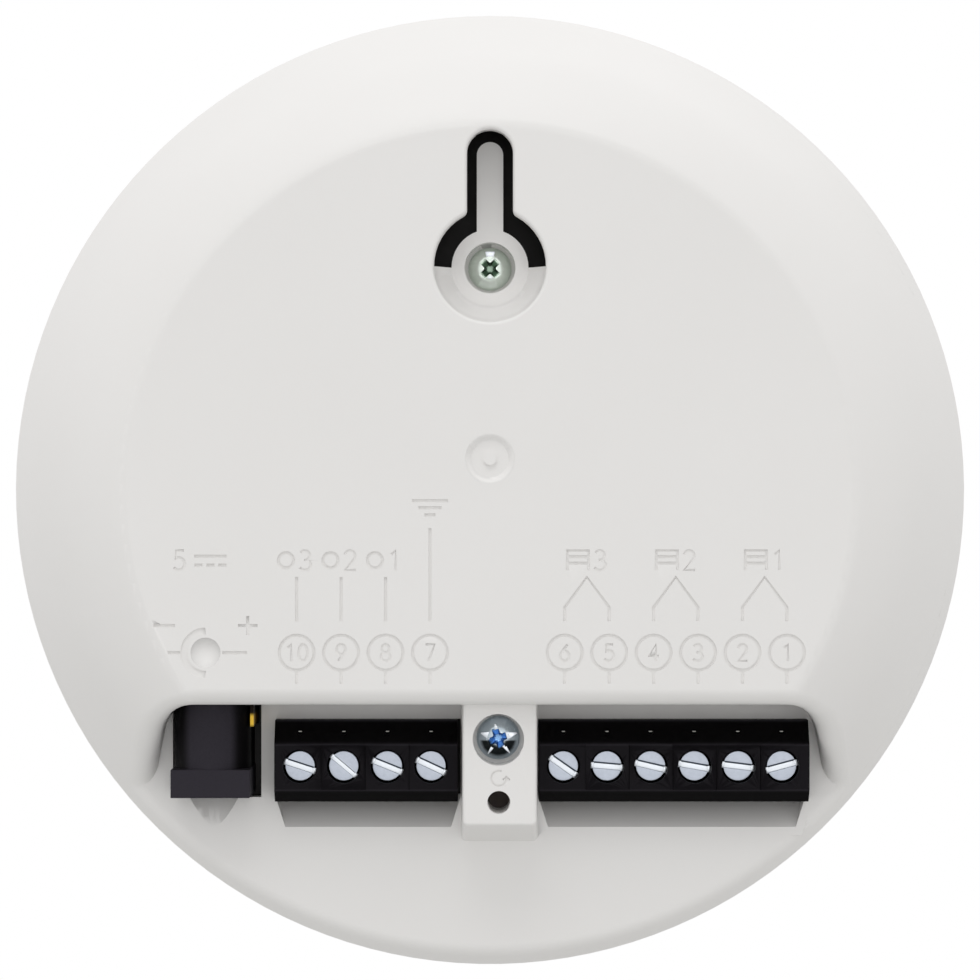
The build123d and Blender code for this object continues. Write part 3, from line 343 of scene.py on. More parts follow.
def ramp(value, start, end):
    """0 below the start, 1 past the end, and a soft passage between them."""
    inputs = {"Value": value, "From Min": start, "From Max": end}
    return value.node("ShaderNodeMapRange", {"interpolation_type": "SMOOTHSTEP"}, inputs)


def band(value, middle, half_width):
    """1 at the middle and 0 past the half width on both sides."""
    return 1 - ramp(abs(value - middle), 0.4 * half_width, half_width)


# %% Finishes of the black plastics
low, high = box_mm("opener_terminal_housing")
BLOCK_TOP, BLOCK_BACK = low.y, high.z
SHOULDER_Z, LIP_Z = -29.1, -34.3
EDGE_HALF_WIDTH, LIP_HALF_WIDTH = 0.16, 0.14
FACE_PAINTED_LIGHT, EDGE_PAINTED_HIGHLIGHT = 0.42, 0.75


def terminal_black(place):
    """Black nylon with painted light: a paler outermost face, painted highlights along the edges and darker,
    shaded slopes.
    """
    z = axis_of(place, "Z")
    texture = noise(place, 5200, detail=3)
    # Painted light: a paler outermost face over shaded slopes, and painted highlights along the edges
    face = 1 - ramp(axis_of(place, "Y"), BLOCK_TOP + 0.02, BLOCK_TOP + 0.3)
    edges = band(z, SHOULDER_Z, EDGE_HALF_WIDTH) + 0.7 * band(z, LIP_Z, LIP_HALF_WIDTH)
    edges = edges + 0.8 * band(z, BLOCK_BACK + 0.3, EDGE_HALF_WIDTH)
    painted_block_light = FACE_PAINTED_LIGHT * face + EDGE_PAINTED_HIGHLIGHT * edges * (0.55 + 0.45 * noise(place, 700))
    return {
        "Base Color": between(painted_block_light, (0.0012, 0.0009, 0.0012), (0.021, 0.019, 0.023)),
        "Roughness": 0.42 + 0.15 * texture,
        "Normal": bumped(texture, 0.006 * MM),
    }


JACK_X = middle_of("power_jack_housing").x / MM
FLANGE_Z, FLANGE_BLUR = -31.85, 0.05
CROWN_START, CROWN_END = 2.1, 3.3


def jack_black(place):
    """Black plastic with painted light: a paler crown and flange, and near-black flanks as painted shade."""
    z = axis_of(place, "Z")
    side = abs(axis_of(place, "X") - JACK_X)
    # Painted light: the flange and the crown are painted paler, and the flanks darker as shade
    flange = ramp(-1 * z, -FLANGE_Z - FLANGE_BLUR, -FLANGE_Z + FLANGE_BLUR)
    crown = 1 - ramp(side, CROWN_START, CROWN_END)
    texture = noise(place, 3800, detail=3)
    pale = (flange + (1 - flange) * crown) * (0.8 + 0.4 * texture)
    return {
        "Base Color": between(pale, (0.002, 0.0016, 0.0022), (0.031, 0.028, 0.036)),
        "Roughness": 0.5 + 0.15 * texture,
        "Normal": bumped(texture, 0.012 * MM),
    }


finishes["terminal_plastic"] = finish("terminal_plastic_black", terminal_black, {"Specular IOR Level": 0.05})
finishes["jack_plastic"] = finish("jack_plastic_black", jack_black, {"Specular IOR Level": 0.08})

# %% Finishes of the metals
METAL = {"Metallic": 1.0}
# Of each slot: the name of its finish, a light and a dark shade, roughness and grains in a metre
PLATINGS = {
    "cage_steel": ("cage_steel_nickel", (0.6, 0.59, 0.56), (0.42, 0.41, 0.39), 0.22, 5000),
    "contact_brass": ("contact_brass_tinned", (0.83, 0.6, 0.16), (0.6, 0.4, 0.07), 0.18, 5000),
    "shield_metal": ("shield_tinned_sheet", (0.74, 0.74, 0.71), (0.55, 0.55, 0.53), 0.2, 3000),
    "capacitor_can": ("capacitor_aluminium", (0.78, 0.79, 0.8), (0.6, 0.61, 0.62), 0.2, 4000),
}
for slot, (name, *shades) in PLATINGS.items():
    finishes[slot] = finish(name, plated(*shades), METAL)
# Bright steel for the milled slot floors, and for the painted highlight wedges on the case screws
milled_and_highlight_steel = finish(
    "zinc_steel_milled_and_highlight", plated((0.86, 0.89, 0.92), (0.66, 0.7, 0.76), 0.25, 9000), METAL
)
SLOT_START = box_mm("terminal_screw_1")[0].y + 0.08
SLOT_SHADE_DEPTH = 0.35


def terminal_zinc(place):
    """Bright zinc on the head's face, painted darker as shade in the depth of the slot and below the head."""
    cloud = noise(place, 1300, detail=6, roughness=0.7)
    # Painted shade: darker below the face of the head, in the depth of the slot
    slot_shade = ramp(axis_of(place, "Y"), SLOT_START, SLOT_START + SLOT_SHADE_DEPTH)
    unshaded_zinc = between(cloud, (0.33, 0.36, 0.42), (0.57, 0.61, 0.68))
    return {
        "Base Color": between(slot_shade, unshaded_zinc, (0.06, 0.075, 0.1)),
        "Roughness": 0.22 + 0.25 * cloud,
        "Normal": bumped(cloud, 0.02 * MM),
    }


finishes["zinc_steel"] = finish("zinc_steel_bright", terminal_zinc, METAL)


def from_axis(place, x, z):
    """Distance from a line along Y, in millimetres."""
    across, up = axis_of(place, "X") - x, axis_of(place, "Z") - z
    return across.maths("POWER", across * across + up * up, 0.5)


def case_screw_zinc(node_name, light, dark, recess, shade):
    """Plating of a case screw: a cloudy crown, a recess painted darker in its own tint as shade, and patches
    of painted shade below the middle.
    """
    low, high = box_mm(node_name)
    x, z = (low.x + high.x) / 2, (low.z + high.z) / 2

    def varying(place):
        cloud = noise(place, 900, detail=5, roughness=0.65)
        radius = from_axis(place, x, z)
        # Painted shade: the recess is painted darker, and dark patches lie on the crown below the middle
        in_recess = ramp(axis_of(place, "Y"), low.y + 0.3, low.y + 0.65) * (1 - ramp(radius, 1.25, 1.6))
        painted_dark_patches = shade * band(radius, 1.4, 0.9) * ramp(z - axis_of(place, "Z"), 0.1, 0.35)
        crown = between(painted_dark_patches, between(cloud, dark, light), (0.02, 0.024, 0.026))
        return {
            "Base Color": between(in_recess, crown, recess),
            "Roughness": 0.14 + 0.2 * cloud,
            "Normal": bumped(cloud, 0.012 * MM),
        }

    return varying


green_zinc = case_screw_zinc(
    "upper_case_screw", (0.88, 0.95, 0.89), (0.7, 0.78, 0.71), (0.17, 0.23, 0.18), 0
)
blue_zinc = case_screw_zinc(
    "lower_case_screw", (0.62, 0.7, 0.75), (0.4, 0.47, 0.54), (0.2, 0.36, 0.62), 1
)
finishes["green_zinc_steel"] = finish("zinc_steel_olive", green_zinc, METAL)
finishes["blue_zinc_steel"] = finish("zinc_steel_blue", blue_zinc, METAL)
BRASS_BAND_Z, BRASS_BAND_HALF_WIDTH = box_mm("power_jack_side_contact")[0].z + 0.75, 0.9


def tarnished_brass(place):
    """Brass painted black as shade, but for one band that keeps the colour of brass."""
    # Painted shade: the strip is painted black but for one band
    brass_band = band(axis_of(place, "Z"), BRASS_BAND_Z, BRASS_BAND_HALF_WIDTH)
    cloud = noise(place, 1500, detail=4)
    return {
        "Base Color": between(brass_band, (0.012, 0.009, 0.007), (0.62, 0.4, 0.05)),
        "Roughness": 0.3 + 0.2 * cloud,
        "Normal": bumped(cloud, 0.01 * MM),
    }


side_brass = finish("side_contact_brass", tarnished_brass, METAL)


# %% Finish of the circuit board
def solder_resist(place):
    """Black resist with tracks that stand up a little under it."""
    tracks = place.node(
        "ShaderNodeTexBrick", {"offset": 0.5},
        {"Vector": stretched(place, (450, 450, 450)), "Scale": 1.0, "Mortar Size": 0.06},
        output="Fac",
    )
    cloud = noise(place, 300, detail=3)
    return {
        "Base Color": between(0.7 * tracks + 0.3 * cloud, (0.014, 0.012, 0.012), (0.034, 0.029, 0.028)),
        "Roughness": 0.3 + 0.15 * cloud,
        "Normal": bumped(tracks, 0.03 * MM),
    }


finishes["board_laminate"] = finish("board_laminate_black", solder_resist, {"Specular IOR Level": 0.2})

# %% [markdown]
# Each CAD node arrives with one material slot, named after the slot in the record. Its finish
# takes that place. The nodes that stay in the picture as they are need nothing else.

# %% Give every CAD node its finish
node_slots = {row["node"]: row["material_slot"] for row in frame["record"]["subparts"]}
for node_name, node in frame["nodes"].items():
    node.material_slots[0].material = finishes[node_slots[node_name]]
frame["nodes"]["power_jack_side_contact"].material_slots[0].material = side_brass
print("nodes with a finish:", len(frame["nodes"]))

# %% [markdown]
# ## The floor
#
# A plain pale floor lies well below the part, so the photograph's view doesn't reach it, but it
# returns some light and is there in the other views.

# %% Floor
FLOOR_DROP = 345 * MM
FLOOR_REACH = 0.96


def flat_colour(place):
    """Pale grey with a hardly visible change, for the floor."""
    return {"Base Color": between(noise(place, 8), (0.60, 0.60, 0.59), (0.63, 0.63, 0.62))}


floor_mesh = bpy.data.meshes.new("floor")
floor_z = cad_box[0][2] - FLOOR_DROP
corners = [(x * FLOOR_REACH, y * FLOOR_REACH, floor_z) for x, y in ((-1, -1), (1, -1), (1, 1), (-1, 1))]
floor_mesh.from_pydata(corners, [], [(0, 1, 2, 3)])
floor_mesh.materials.append(finish("floor_pale", flat_colour, {"Roughness": 0.9, "Specular IOR Level": 0.1}))
floor = new_object("floor", floor_mesh)

# %% [markdown]
# ## Tools for meshes
#
# A CAD node's mesh is loose triangles and is never changed. To add detail, a copy of it is made,
# its doubled points are merged, and the detail is cut into the copy, which then stands for the
# node. Normals weighted by area keep the large flat faces flat beside their small roundings.


# %% Tools for meshes
def reshaped(work, change):
    """The work after a change to its mesh, which is a function of a bmesh."""
    shape = bmesh.new()
    shape.from_mesh(work.data)
    change(shape)
    shape.to_mesh(work.data)
    shape.free()
    return work


def outward(work):
    """The same object with all faces turned outwards."""
    return reshaped(work, lambda shape: bmesh.ops.recalc_face_normals(shape, faces=shape.faces))


def merge_triangles(shape):
    """Close a mesh of loose triangles and join those that lie in one plane."""
    bmesh.ops.remove_doubles(shape, verts=shape.verts, dist=0.0005 * MM)
    bmesh.ops.dissolve_degenerate(shape, edges=shape.edges, dist=0.0001 * MM)
    bmesh.ops.dissolve_limit(shape, angle_limit=radians(0.3), verts=shape.verts, edges=shape.edges)


def merged_copy(node_name, name):
    """Closed copy of a CAD node's mesh, as a new object with the node's finish."""
    mesh = frame["nodes"][node_name].data.copy()
    mesh.name = name
    mesh.materials.clear()
    mesh.materials.append(finishes[node_slots[node_name]])
    return reshaped(new_object(name, mesh), merge_triangles)


def settled(work):
    """A plain mesh object in place of one with modifiers."""
    graph = bpy.context.evaluated_depsgraph_get()
    mesh = bpy.data.meshes.new_from_object(work.evaluated_get(graph))
    name, earlier = work.name, work.data
    bpy.data.objects.remove(work)
    if isinstance(earlier, bpy.types.Mesh):
        bpy.data.meshes.remove(earlier)
    mesh.name = name
    return new_object(name, mesh)


def modified(work, kind, **settings):
    """The work after one modifier with its settings."""
    modifier = work.modifiers.new(kind, kind)
    for name, value in settings.items():
        setattr(modifier, name, value)
    return settled(work)


def combined(work, tool, operation):
    """The work with a tool body added or cut away. The tool is used up."""
    finished = modified(work, "BOOLEAN", operation=operation, solver="EXACT", use_self=True, object=tool)
    bpy.data.objects.remove(tool)
    return finished


def softened(work, width, angle=35):
    """The work with its sharp edges rounded by a small width."""
    return modified(
        work, "BEVEL", width=width, segments=2, limit_method="ANGLE", angle_limit=radians(angle)
    )


def smooth(work, angle=30):
    """Smooth shading with sharp edges past an angle, and normals that follow the large faces."""
    work.data.shade_smooth()
    work.data.set_sharp_from_angle(angle=radians(angle))
    return modified(work, "WEIGHTED_NORMAL", keep_sharp=True, weight=100)


def stands_for(work, node_name):
    """The work rides on the node's body and is shown in its place."""
    body = frame["nodes"][node_name]["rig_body"]
    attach(work, body)
    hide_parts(node_name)
    return work


def joined(name, meshes, material):
    """One object from (points, faces) pairs, its faces turned outwards."""
    points, faces = [], []
    for part_points, part_faces in meshes:
        faces += [tuple(len(points) + index for index in face) for face in part_faces]
        points += part_points
    mesh = bpy.data.meshes.new(name)
    mesh.from_pydata([tuple(point) for point in points], [], faces)
    mesh.materials.append(material)
    return outward(new_object(name, mesh))


def capped(count):
    """Faces of a body between two outlines of so many points each."""
    sides = [(a, a + count, (a + 1) % count + count, (a + 1) % count) for a in range(count)]
    return [tuple(range(count)), tuple(reversed(range(count, 2 * count)))] + sides


def block(x, half_width, depths, heights):
    """Box round an X, between two depths and two heights, in millimetres."""
    points = [Vector(corner) * MM for corner in product((x - half_width, x + half_width), depths, heights)]
    faces = [(0, 1, 3, 2), (4, 6, 7, 5), (0, 4, 5, 1), (2, 3, 7, 6), (0, 2, 6, 4), (1, 5, 7, 3)]
    return points, faces


def turned(profile, centre, steps):
    """Closed body of revolution round a line along Y, from (radius, depth) pairs in millimetres."""
    x, z = centre[0] * MM, centre[1] * MM
    points, faces, rows = [], [], []
    for radius, depth in profile:
        count = steps if radius else 1
        rows.append(range(len(points), len(points) + count))
        for angle in (2 * pi * step / steps for step in range(count)):
            points.append(Vector((x + radius * MM * cos(angle), depth * MM, z + radius * MM * sin(angle))))
    for row, following in zip(rows, rows[1:]):
        for step in range(steps):
            after = (step + 1) % steps
            if len(row) == 1:
                faces.append((row[0], following[step], following[after]))
            elif len(following) == 1:
                faces.append((row[after], row[step], following[0]))
            else:
                faces.append((row[step], following[step], following[after], row[after]))
    return points, faces


def round_bar(x, z, radius, start, end, steps):
    """Round bar along Y between two depths, in millimetres."""
    return turned([(0, start), (radius, start), (radius, end), (0, end)], (x, z), steps)


def wing(start, end, inner, outer):
    """Corners of a wing that runs outwards and changes its width on the way."""
    return [(start, -inner / 2), (end, -outer / 2), (end, outer / 2), (start, inner / 2)]


def tapered_bar(centre, levels, angle, outlines):
    """Body between two four-cornered outlines at two depths, turned about a centre, in mm."""
    along = Vector((cos(radians(angle)), 0, sin(radians(angle))))
    across = Vector((-along.z, 0, along.x))
    points = []
    for level, outline in zip(levels, outlines):
        start = Vector((centre[0], level, centre[1]))
        points += [(start + along * reach + across * side) * MM for reach, side in outline]
    return points, capped(4)


# %% [markdown]
# ## Places that the marks follow
#
# The marks moulded into the back name the terminals, so their places come from the terminal
# screws of the frame. Heights were read from the photograph and are given in millimetres.

# %% Places from the frame
terminal_x = {number: middle_of(f"terminal_screw_{number}").x / MM for number in range(1, 11)}
reset_x = middle_of("reset_button").x / MM
reset_z = middle_of("reset_button").z / MM
lower_screw_z = middle_of("lower_case_screw").z / MM
print("terminals in mm:", {number: round(x, 2) for number, x in terminal_x.items()})

# %% [markdown]
# ## Strokes of the marks
#
# A mark is a few strokes: straight runs and arcs. The numbers are drawn with strokes too, on a
# cell one unit high. The words of the real back are left off, and plain signs stand in their
# places.


# %% Strokes and numerals
def arc(x, z, width, height, start, end, step=15):
    """Points of an arc of an ellipse, from a start angle to an end angle in degrees."""
    count = ceil(abs(end - start) / step)
    angles = [radians(start + (end - start) * index / count) for index in range(count + 1)]
    return [(x + width * cos(angle), z + height * sin(angle)) for angle in angles]


def ring(x, z, radius):
    return arc(x, z, radius, radius, 0, 360)


NUMERALS = {
    "0": [arc(0.3, 0.5, 0.27, 0.5, 0, 360)],
    "1": [[(0.14, 0.8), (0.36, 1.0), (0.36, 0.0)]],
    "2": [arc(0.3, 0.72, 0.26, 0.28, 165, -35) + [(0.04, 0.0), (0.6, 0.0)]],
    "3": [arc(0.27, 0.75, 0.24, 0.25, 150, -90) + arc(0.27, 0.26, 0.3, 0.26, 90, -150)],
    "4": [[(0.44, 0.0), (0.44, 1.0), (0.02, 0.3), (0.62, 0.3)]],
    "5": [[(0.54, 1.0), (0.14, 1.0), (0.1, 0.56)] + arc(0.27, 0.32, 0.3, 0.32, 110, -145)],
    "6": [arc(0.3, 0.3, 0.27, 0.3, 0, 360), [(0.47, 1.0), (0.2, 0.66), (0.05, 0.4)]],
    "7": [[(0.03, 1.0), (0.57, 1.0), (0.22, 0.0)]],
    "8": [arc(0.3, 0.75, 0.22, 0.25, 0, 360), arc(0.3, 0.26, 0.28, 0.26, 0, 360)],
    "9": [arc(0.3, 0.7, 0.27, 0.3, 0, 360), [(0.13, 0.0), (0.4, 0.34), (0.55, 0.6)]],
}
NUMERAL_WIDTH, NUMERAL_ADVANCE = 0.6, 0.78


def numeral(text, x, z, height):
    """Strokes of a number whose middle is at a place."""
    width = (len(text) - 1) * NUMERAL_ADVANCE + NUMERAL_WIDTH
    strokes = []
    for index, figure in enumerate(text):
        left = x - width * height / 2 + index * NUMERAL_ADVANCE * height
        for stroke in NUMERALS[figure]:
            strokes.append([(left + px * height, z - height / 2 + pz * height) for px, pz in stroke])
    return strokes


# %% Marks on the flat back
RING_Z, RING_RADIUS, RING_NUMBER_HEIGHT = -18.3, 1.97, 1.85
STUB_LOW = -21.8
LINE_TOP, LINE_LOW, COMMON_LINE_TOP = -9.8, -14.75, -4.3
CHEVRON_KNEE = -13.2
LABEL_Z, LABEL_HEIGHT = -7.9, 2.2
SENSOR_RING_SHIFT, SENSOR_RING_RADIUS, SENSOR_NUMBER_SHIFT = -1.2, 0.85, 1.0
EARTH_TOP, EARTH_STEP, EARTH_HALF_WIDTHS = -1.2, 0.8, (2.0, 1.3, 0.6)
DOOR_LEFT, DOOR_RIGHT, DOOR_SLATS, DOOR_NUMBER_SHIFT = -2.2, 0.2, (0.35, 0.68), 1.5

line_strokes, numeral_strokes = [], []
for number, x in terminal_x.items():
    line_strokes += [ring(x, RING_Z, RING_RADIUS), [(x, RING_Z - RING_RADIUS), (x, STUB_LOW)]]
    numeral_strokes += numeral(str(number), x, RING_Z, RING_NUMBER_HEIGHT)

# Terminals 10 to 8 take one sensor each, and 7 is common to them
for sensor, number in ((3, 10), (2, 9), (1, 8)):
    x = terminal_x[number]
    sign = ring(x + SENSOR_RING_SHIFT, LABEL_Z, SENSOR_RING_RADIUS)
    line_strokes += [[(x, LINE_TOP), (x, LINE_LOW)], sign]
    numeral_strokes += numeral(str(sensor), x + SENSOR_NUMBER_SHIFT, LABEL_Z, LABEL_HEIGHT)
line_strokes.append([(terminal_x[7], COMMON_LINE_TOP), (terminal_x[7], LINE_LOW)])
for index, half_width in enumerate(EARTH_HALF_WIDTHS):
    z = EARTH_TOP - EARTH_STEP * index
    line_strokes.append([(terminal_x[7] - half_width, z), (terminal_x[7] + half_width, z)])

# Terminals 6 to 1 lead in pairs to three doors, each shown as a small sectional door
for door, (left, right) in ((3, (6, 5)), (2, (4, 3)), (1, (2, 1))):
    low_x, high_x = terminal_x[left], terminal_x[right]
    apex = (low_x + high_x) / 2
    line_strokes.append([
        (low_x, LINE_LOW), (low_x, CHEVRON_KNEE), (apex, LINE_TOP),
        (high_x, CHEVRON_KNEE), (high_x, LINE_LOW),
    ])
    low, high = LABEL_Z - LABEL_HEIGHT / 2, LABEL_Z + LABEL_HEIGHT / 2
    jamb, far_jamb = apex + DOOR_LEFT, apex + DOOR_RIGHT
    line_strokes.append([(jamb, low), (jamb, high), (far_jamb, high), (far_jamb, low)])
    for share in DOOR_SLATS:
        height = low + share * LABEL_HEIGHT
        line_strokes.append([(jamb, height), (far_jamb, height)])
    numeral_strokes += numeral(str(door), apex + DOOR_NUMBER_SHIFT, LABEL_Z, LABEL_HEIGHT)

# Polarity sign of the power socket, with the sign for direct current above it
POLARITY_Z, SIGN_Z, SLEEVE_SIGN_RADIUS = -18.3, -15.25, 2.45
PLUS_X, PLUS_HALF_HEIGHT = JACK_X + 4.6, 1.07
CURRENT_X, CURRENT_LENGTH, DASH_LENGTH, DASH_STEP = JACK_X - 1.4, 3.6, 0.9, 1.35
VOLTAGE_SHIFT = -3.1
disc_x = JACK_X - 0.15


def level_run(start, end, z):
    """Stroke along X between two distances from the socket's middle."""
    return [(JACK_X + start, z), (JACK_X + end, z)]


line_strokes += [
    level_run(-4.4, -3.05, POLARITY_Z), level_run(1.75, 4.5, POLARITY_Z),  # leads of the sign
    level_run(-6.0, -3.6, SIGN_Z), level_run(3.5, 5.7, SIGN_Z),  # minus, and the bar of the plus
    [(PLUS_X, SIGN_Z - PLUS_HALF_HEIGHT), (PLUS_X, SIGN_Z + PLUS_HALF_HEIGHT)],
    [(CURRENT_X, LABEL_Z + 0.45), (CURRENT_X + CURRENT_LENGTH, LABEL_Z + 0.45)],
]
for index in range(3):
    start = CURRENT_X + DASH_STEP * index
    line_strokes.append([(start, LABEL_Z - 0.55), (start + DASH_LENGTH, LABEL_Z - 0.55)])
numeral_strokes += numeral("5", JACK_X + VOLTAGE_SHIFT, LABEL_Z, LABEL_HEIGHT)
sleeve_sign = arc(disc_x, POLARITY_Z, SLEEVE_SIGN_RADIUS, SLEEVE_SIGN_RADIUS, 90, 270)
print("strokes:", len(line_strokes), "of lines and", len(numeral_strokes), "of numbers")

# %% Mark on the post, an open ring with an arrow's head, between the screw and the reset hole
RESET_SIGN_RADIUS, ARROW_REACH = 0.85, 0.4
reset_sign_z = (lower_screw_z - 2.9 + reset_z + 1.3) / 2
open_ring = arc(reset_x, reset_sign_z, RESET_SIGN_RADIUS, RESET_SIGN_RADIUS, 70, 365)
tip_x, tip_z = reset_x + RESET_SIGN_RADIUS, reset_sign_z + 0.2
arrowhead = [(tip_x + side, tip_z - abs(side)) for side in (-ARROW_REACH, 0, ARROW_REACH)]

# %% [markdown]
# ## Grooves along the strokes
#
# Geometry Nodes sweep a small rectangle along every stroke. The tree has inputs for the width and
# the depth of the groove, and its normals are set to +Y, so that the rectangle stays square to
# the back. The sweep is then used as a cutter.


# %% Trees of Geometry Nodes
def start_tree(name, inputs):
    """New tree whose inputs are given by name and kind, and a dictionary of their signals."""
    tree = bpy.data.node_groups.new(name, "GeometryNodeTree")
    for input_name, kind in inputs.items():
        tree.interface.new_socket(input_name, in_out="INPUT", socket_type=f"NodeSocket{kind}")
    tree.interface.new_socket("Result", in_out="OUTPUT", socket_type="NodeSocketGeometry")
    entry = tree.nodes.new("NodeGroupInput")
    return Signal(tree), {socket.name: Signal(tree, socket) for socket in entry.outputs if socket.name}


def end_tree(geometry, material):
    """Give the geometry its finish, lead it out of its tree and return the tree."""
    whole = geometry.node("GeometryNodeRealizeInstances", {}, {"Geometry": geometry})
    painted = geometry.node("GeometryNodeSetMaterial", {}, {"Geometry": whole, "Material": material})
    leave = geometry.tree.nodes.new("NodeGroupOutput")
    geometry.tree.links.new(painted.socket, leave.inputs[0])
    return geometry.tree


def grown(work, tree, values):
    """The work after a tree of Geometry Nodes, with values for the tree's inputs."""
    modifier = work.modifiers.new(tree.name, "NODES")
    modifier.node_group = tree
    for item in tree.interface.items_tree:
        if item.in_out == "INPUT" and item.name in values:
            modifier[item.identifier] = values[item.name]
    return settled(work)


# %% Geometry Nodes tree for the grooves
def grooves_tree():
    """Tree that sweeps a rectangle along curves, with its sizes as inputs."""
    graph, given = start_tree("grooves along strokes", {
        "Strokes": "Geometry", "Groove width": "Float", "Groove depth": "Float", "Finish": "Material",
    })
    upright = graph.node(
        "GeometryNodeSetCurveNormal", {"mode": "FREE"}, {"Curve": given["Strokes"], "Normal": (0, 1, 0)}
    )
    outline = graph.node(
        "GeometryNodeCurvePrimitiveQuadrilateral", {"mode": "RECTANGLE"},
        {"Width": 2 * given["Groove depth"], "Height": given["Groove width"]},
    )
    sweep = graph.node(
        "GeometryNodeCurveToMesh", {}, {"Curve": upright, "Profile Curve": outline, "Fill Caps": True}
    )
    return end_tree(sweep, given["Finish"])


def groove_cutter(name, strokes, width, depth, surface):
    """Cutter for strokes on a face at a depth behind the wall plane."""
    curve = bpy.data.curves.new(name, "CURVE")
    curve.dimensions = "3D"
    for stroke in strokes:
        closed = len(stroke) > 2 and dist(stroke[0], stroke[-1]) < 0.001
        points = stroke[:-1] if closed else stroke
        spline = curve.splines.new("POLY")
        spline.points.add(len(points) - 1)
        for point, (x, z) in zip(spline.points, points):
            point.co = (x * MM, surface * MM, z * MM, 1)
        spline.use_cyclic_u = closed
    sizes = {"Groove width": width * MM, "Groove depth": depth * MM}
    return outward(grown(new_object(name, curve), groove_nodes, sizes | {"Finish": finishes["case_plastic"]}))


groove_nodes = grooves_tree()
FLAT_BACK, POST_FACE = 0.0, 3.0
# Of each cutter: its name, its strokes, the width and the depth of the groove and the face
GROOVES = (
    ("line_grooves", line_strokes, 0.34, 0.2, FLAT_BACK),
    ("numeral_grooves", numeral_strokes, 0.3, 0.14, FLAT_BACK),
    ("sleeve_groove", [sleeve_sign], 0.78, 0.18, FLAT_BACK),
    ("reset_ring_groove", [open_ring], 0.2, 0.15, POST_FACE),
    ("reset_arrow_groove", [arrowhead], 0.2, 0.17, POST_FACE),
)
groove_cutters = [groove_cutter(*groove) for groove in GROOVES]
print("faces of the cutters:", [len(cutter.data.polygons) for cutter in groove_cutters])

# %% [markdown]
# ## The back cover
#
# The real back is one moulded piece. Its shape comes from the CAD model, and the marks are cut
# into a closed copy of it. The sunk disc of the polarity sign is a short turned body that is cut
# away in the same manner. In the photograph the post runs on into the wall above it, so a short
# length is added there, and the seat of the lower case screw is cut through it again. A thin skin
# that the CAD model has at the inner end of the reset hole is opened, so that the button shows.

# %% Changes to the back cover
RIM_ROUNDING = 0.7
SAME_PLACE = 0.01 * MM
POST_X, POST_FACE_WIDTH, POST_FOOT_WIDTH, POST_FOOT = 1.1, 8.4, 8.87, 11.0
POST_JOIN_Z, POST_JOIN_LENGTH, POST_EDGE = -25.0, 2.2, 0.4
SEAT_RADIUS, SEAT_START, SEAT_END = 2.92, 2.0, 7.0
RESET_HOLE_RADIUS, SKIN_START, SKIN_END = 1.28, 10.0, 11.1
DISC_RADIUS, DISC_START, DISC_END = 1.69, -0.3, 0.22


def drill(name, x, z, radius, start, end):
    """Round cutter between two depths, all in millimetres."""
    return joined(name, [round_bar(x, z, radius, start, end, 64)], finishes["case_plastic"])


def round_rim(shape):
    """Round the edge between the flat back and the dome."""
    reach = max(vertex.co.xz.length for vertex in shape.verts) - SAME_PLACE
    level = min(vertex.co.y for vertex in shape.verts if vertex.co.xz.length > reach)
    edges = [
        edge for edge in shape.edges
        if all(vertex.co.xz.length > reach for vertex in edge.verts)
        and all(abs(vertex.co.y - level) < SAME_PLACE for vertex in edge.verts)
    ]
    bmesh.ops.bevel(
        shape, geom=edges, offset=RIM_ROUNDING * MM, segments=4, profile=0.5, affect="EDGES",
        offset_type="OFFSET", clamp_overlap=True,
    )
    print("edges of the rim rounded:", len(edges))


def drop_slivers(shape):
    """Merge the slivers that the cuts leave, and count the open edges."""
    bmesh.ops.remove_doubles(shape, verts=shape.verts, dist=0.0005 * MM)
    bmesh.ops.dissolve_degenerate(shape, edges=shape.edges, dist=0.0005 * MM)
    print("open edges of the back cover:", sum(not edge.is_manifold for edge in shape.edges))


# %% Round the rim, join the post and cut the marks
back = reshaped(merged_copy("back_cover", "back_cover_engraved"), round_rim)
outlines = [
    wing(-width / 2, width / 2, POST_JOIN_LENGTH, POST_JOIN_LENGTH)
    for width in (POST_FACE_WIDTH, POST_FOOT_WIDTH)
]
join = tapered_bar((POST_X, POST_JOIN_Z), (POST_FACE, POST_FOOT), 0, outlines)
join = softened(joined("post_join", [join], finishes["case_plastic"]), POST_EDGE * MM)
back = combined(back, join, "UNION")
lower_screw_x = middle_of("lower_case_screw").x / MM
drills = [
    drill("screw_seat", lower_screw_x, lower_screw_z, SEAT_RADIUS, SEAT_START, SEAT_END),
    drill("reset_hole_end", reset_x, reset_z, RESET_HOLE_RADIUS, SKIN_START, SKIN_END),
    drill("polarity_disc", disc_x, POLARITY_Z, DISC_RADIUS, DISC_START, DISC_END),
]
for cutter in drills + groove_cutters:
    back = combined(back, cutter, "DIFFERENCE")
back = smooth(reshaped(back, drop_slivers), angle=28)
back = stands_for(back, "back_cover")
print("back cover:", len(back.data.polygons), "faces")

# %% [markdown]
# ## Terminal screws
#
# Ten small screws repeat along the two blocks, each left at its own angle. A tree of Geometry
# Nodes makes one screw from named sizes. It has two results, chosen by a switch: the screw with
# its slot, and the freshly milled floor of the slot with the two small tabs that the tool leaves
# at its ends, which are brighter than the plating. Both turn with the screw's own body.

# %% Geometry Nodes tree for a slotted screw
SCREW_SIZES = {
    "Head radius": 1.68, "Head height": 1.05, "Shank radius": 1.25, "Slot width": 0.78,
    "Slot depth": 0.85, "Floor width": 0.6, "Floor depth": 0.3, "Tab reach": 1.9,
}


